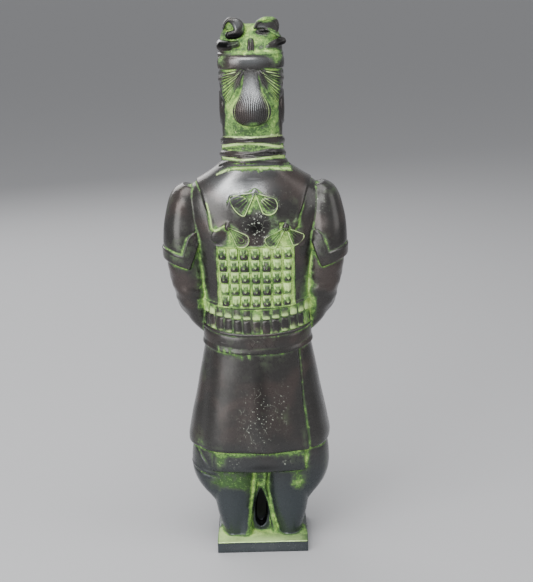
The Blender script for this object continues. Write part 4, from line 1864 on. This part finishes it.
# %% Wiped metal, bluer below and warmer above
height = metal.add("ShaderNodeSeparateXYZ", values={0: place}, out="Z")
warmth = height.past(0.045, 0.12) * broad.past(0.46, 0.66)
dark = colour_mix(metal, height.past(0.03, 0.09), BLUE_BLACK, BLACK_BROWN)
wiped = colour_mix(metal, warmth, dark, WARM_BROWN)
black, bright = (polish * -1.0).past(0.2, 0.9), polish.past(0.0, 1.0)
shined = colour_mix(metal, bright * 0.8, colour_mix(metal, black, wiped, BLACKENED), BARE_GREY)
hazy = colour_mix(metal, haze * 0.8, shined, HAZE_GREEN)
print("wiped metal ready")

# %% [markdown]
# Dust and scratches catch the light. A Voronoi texture gives each of its cells a random number, which sets
# how large that cell's speck is. Scratches are thin lines where a slow noise passes its middle.

# %% Pale specks, scratches and rubbed edges
SPECK_SIZE, SPECK_WANDER = 1.5, 2.4
nudge = metal.add("ShaderNodeVectorMath", {"operation": "SCALE"}, {0: fleck, "Scale": SPECK_WANDER * UNIT})
nudged = metal.add("ShaderNodeVectorMath", {"operation": "ADD"}, {0: place, 1: nudge})
cells = metal.add("ShaderNodeTexVoronoi", values={"Vector": nudged, "Scale": 1 / (SPECK_SIZE * UNIT)})
chance = metal.add("ShaderNodeSeparateColor", values={0: cells.beside("Color")})
reach = chance * chance * (dust * 0.28 + 0.18)
specks = (1 - cells.past(reach * 0.6, reach)) * (dust + (blotch - 0.5) * 0.8).past(0.25, 0.75)
wandering = noise(metal, place, 9, 1) - 0.5
thin_line = 1 - (wandering * wandering).past(0.000003, 0.00003)
scratches = thin_line * dust.past(0.3, 0.8) * blotch.past(0.45, 0.6)
pale_lines = rubbed.past(0.08, 0.45) * (corrosion + (blotch - 0.5) * 1.0).past(-0.25, 0.15) * 0.8
metal_colour = colour_mix(metal, green_mask, hazy, green_colour)
edged = colour_mix(metal, pale_lines, metal_colour, PALE_GREEN)
marks = specks * 0.72 + scratches * 0.5
final_colour = colour_mix(metal, marks * (1 - green_mask), edged, PALE_DUST)
print("marks ready")

# %% Gloss, relief and the finished metal
roughness = green_mask * 0.45 + haze * 0.15 + (blotch - 0.5) * 0.16 - polish * 0.04 + 0.27
relief = green_mask * (grit * 0.9 + blotch * 0.9 + 0.5) + grit * 0.12
bump = metal.add("ShaderNodeBump", values={"Strength": 0.5, "Distance": 0.45 * UNIT, "Height": relief})
metallic = (1 - green_mask) * (1 - marks * 0.8) * (bright * 0.3 + black * 0.35 + 0.6)
surface = metal.add("ShaderNodeBsdfPrincipled", values={
    "Base Color": final_colour, "Metallic": metallic, "Roughness": roughness, "Normal": bump,
})
metal.add("ShaderNodeOutputMaterial", values={"Surface": surface})
print("bronze:", len(bronze.node_tree.nodes), "nodes")

# %% [markdown]
# ## Floor, lamps and camera
#
# The floor is plain and pale. Soft lamps stand above and beside the camera, as in a small studio. The
# camera looks at the back of the statue from slightly above, as the photograph does.

# %% Floor
FLOOR_HALF = 30.0
FLOOR_COLOUR, FLOOR_ROUGHNESS = (0.42, 0.42, 0.43, 1), 0.7

floor_corners = np.array([(-1, -1, 0), (1, -1, 0), (1, 1, 0), (-1, 1, 0)]) * FLOOR_HALF
floor_mesh = mesh_from_arrays("floor", floor_corners, np.array([(0, 1, 2, 3)]))
floor = bpy.data.objects.new("floor", floor_mesh)
bpy.context.scene.collection.objects.link(floor)
floor_paint = bpy.data.materials.new("pale_floor")
floor_paint.use_nodes = True
floor_shader = floor_paint.node_tree.nodes["Principled BSDF"]
floor_shader.inputs["Base Color"].default_value = FLOOR_COLOUR
floor_shader.inputs["Roughness"].default_value = FLOOR_ROUGHNESS
floor_mesh.materials.append(floor_paint)

# %% Lamps
# For each lamp: its place, the height on the statue's axis that it points at, its size and its watts
LAMPS = {
    "overhead": ((0.1, 0.35, 1.4), 0.2, (1.1, 0.9), 17),
    "key": ((0.82, 0.98, 0.5), 0.2, (0.8, 0.8), 12),
    "fill": ((0.3, 1.05, 0.95), 0.2, (0.7, 0.45), 8),
    "side": ((-1.1, 0.5, 0.7), 0.18, (0.8, 0.9), 4.5),
    "front": ((0.5, -1.1, 0.9), 0.2, (0.9, 0.9), 10),
}
SKY_COLOUR, SKY_STRENGTH = (0.80, 0.81, 0.83, 1), 0.55


def soft_lamp(name, place, aim_height, size, watts):
    data = bpy.data.lights.new(name, "AREA")
    data.shape = "RECTANGLE"
    data.size, data.size_y = size
    data.energy = watts
    lamp = bpy.data.objects.new(name, data)
    bpy.context.scene.collection.objects.link(lamp)
    lamp.location = place
    lamp.rotation_euler = (Vector((0, 0, aim_height)) - Vector(place)).to_track_quat("-Z", "Y").to_euler()


for name, (place, aim_height, size, watts) in LAMPS.items():
    soft_lamp(name, place, aim_height, size, watts)
world = bpy.data.worlds.new("soft_sky")
bpy.context.scene.world = world
world.use_nodes = True
sky = world.node_tree.nodes["Background"]
sky.inputs["Color"].default_value = SKY_COLOUR
sky.inputs["Strength"].default_value = SKY_STRENGTH
print("lamps:", [light.name for light in bpy.data.lights])

# %% Camera
PHOTO_HEIGHT_PIXELS = 582
FOCAL_PIXELS = 1361
SENSOR = 36.0
# In units, above the plate's underside
CAMERA_PLACE = (-6.67, 900.0, 388.0)
CAMERA_PITCH, CAMERA_ROLL = math.radians(13.2), math.radians(-1.4)

camera_data = bpy.data.cameras.new("camera")
camera_data.sensor_width = SENSOR
camera_data.lens = FOCAL_PIXELS / PHOTO_HEIGHT_PIXELS * SENSOR
camera_data.clip_start, camera_data.clip_end = 0.01, 100
camera = bpy.data.objects.new("camera", camera_data)
bpy.context.scene.collection.objects.link(camera)
camera.location = Vector(CAMERA_PLACE) * UNIT
turn = Euler((math.pi / 2 - CAMERA_PITCH, 0, math.pi)).to_matrix() @ Euler((0, 0, CAMERA_ROLL)).to_matrix()
camera.rotation_euler = turn.to_euler()
bpy.context.scene.camera = camera
print("camera lens:", round(camera_data.lens, 2), "mm")

# %% [markdown]
# ## Hand over
#
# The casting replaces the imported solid, the small forms ride with it, and both boxes are written down so
# that they can be compared.

# %% Tie every piece to the frame
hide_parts("warrior_statue")
for piece in [statue, *pieces]:
    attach(piece, "root")
    if not piece.data.materials:
        piece.data.materials.append(bronze)
print("pieces:", {piece.name: len(piece.data.polygons) for piece in [statue, *pieces]})
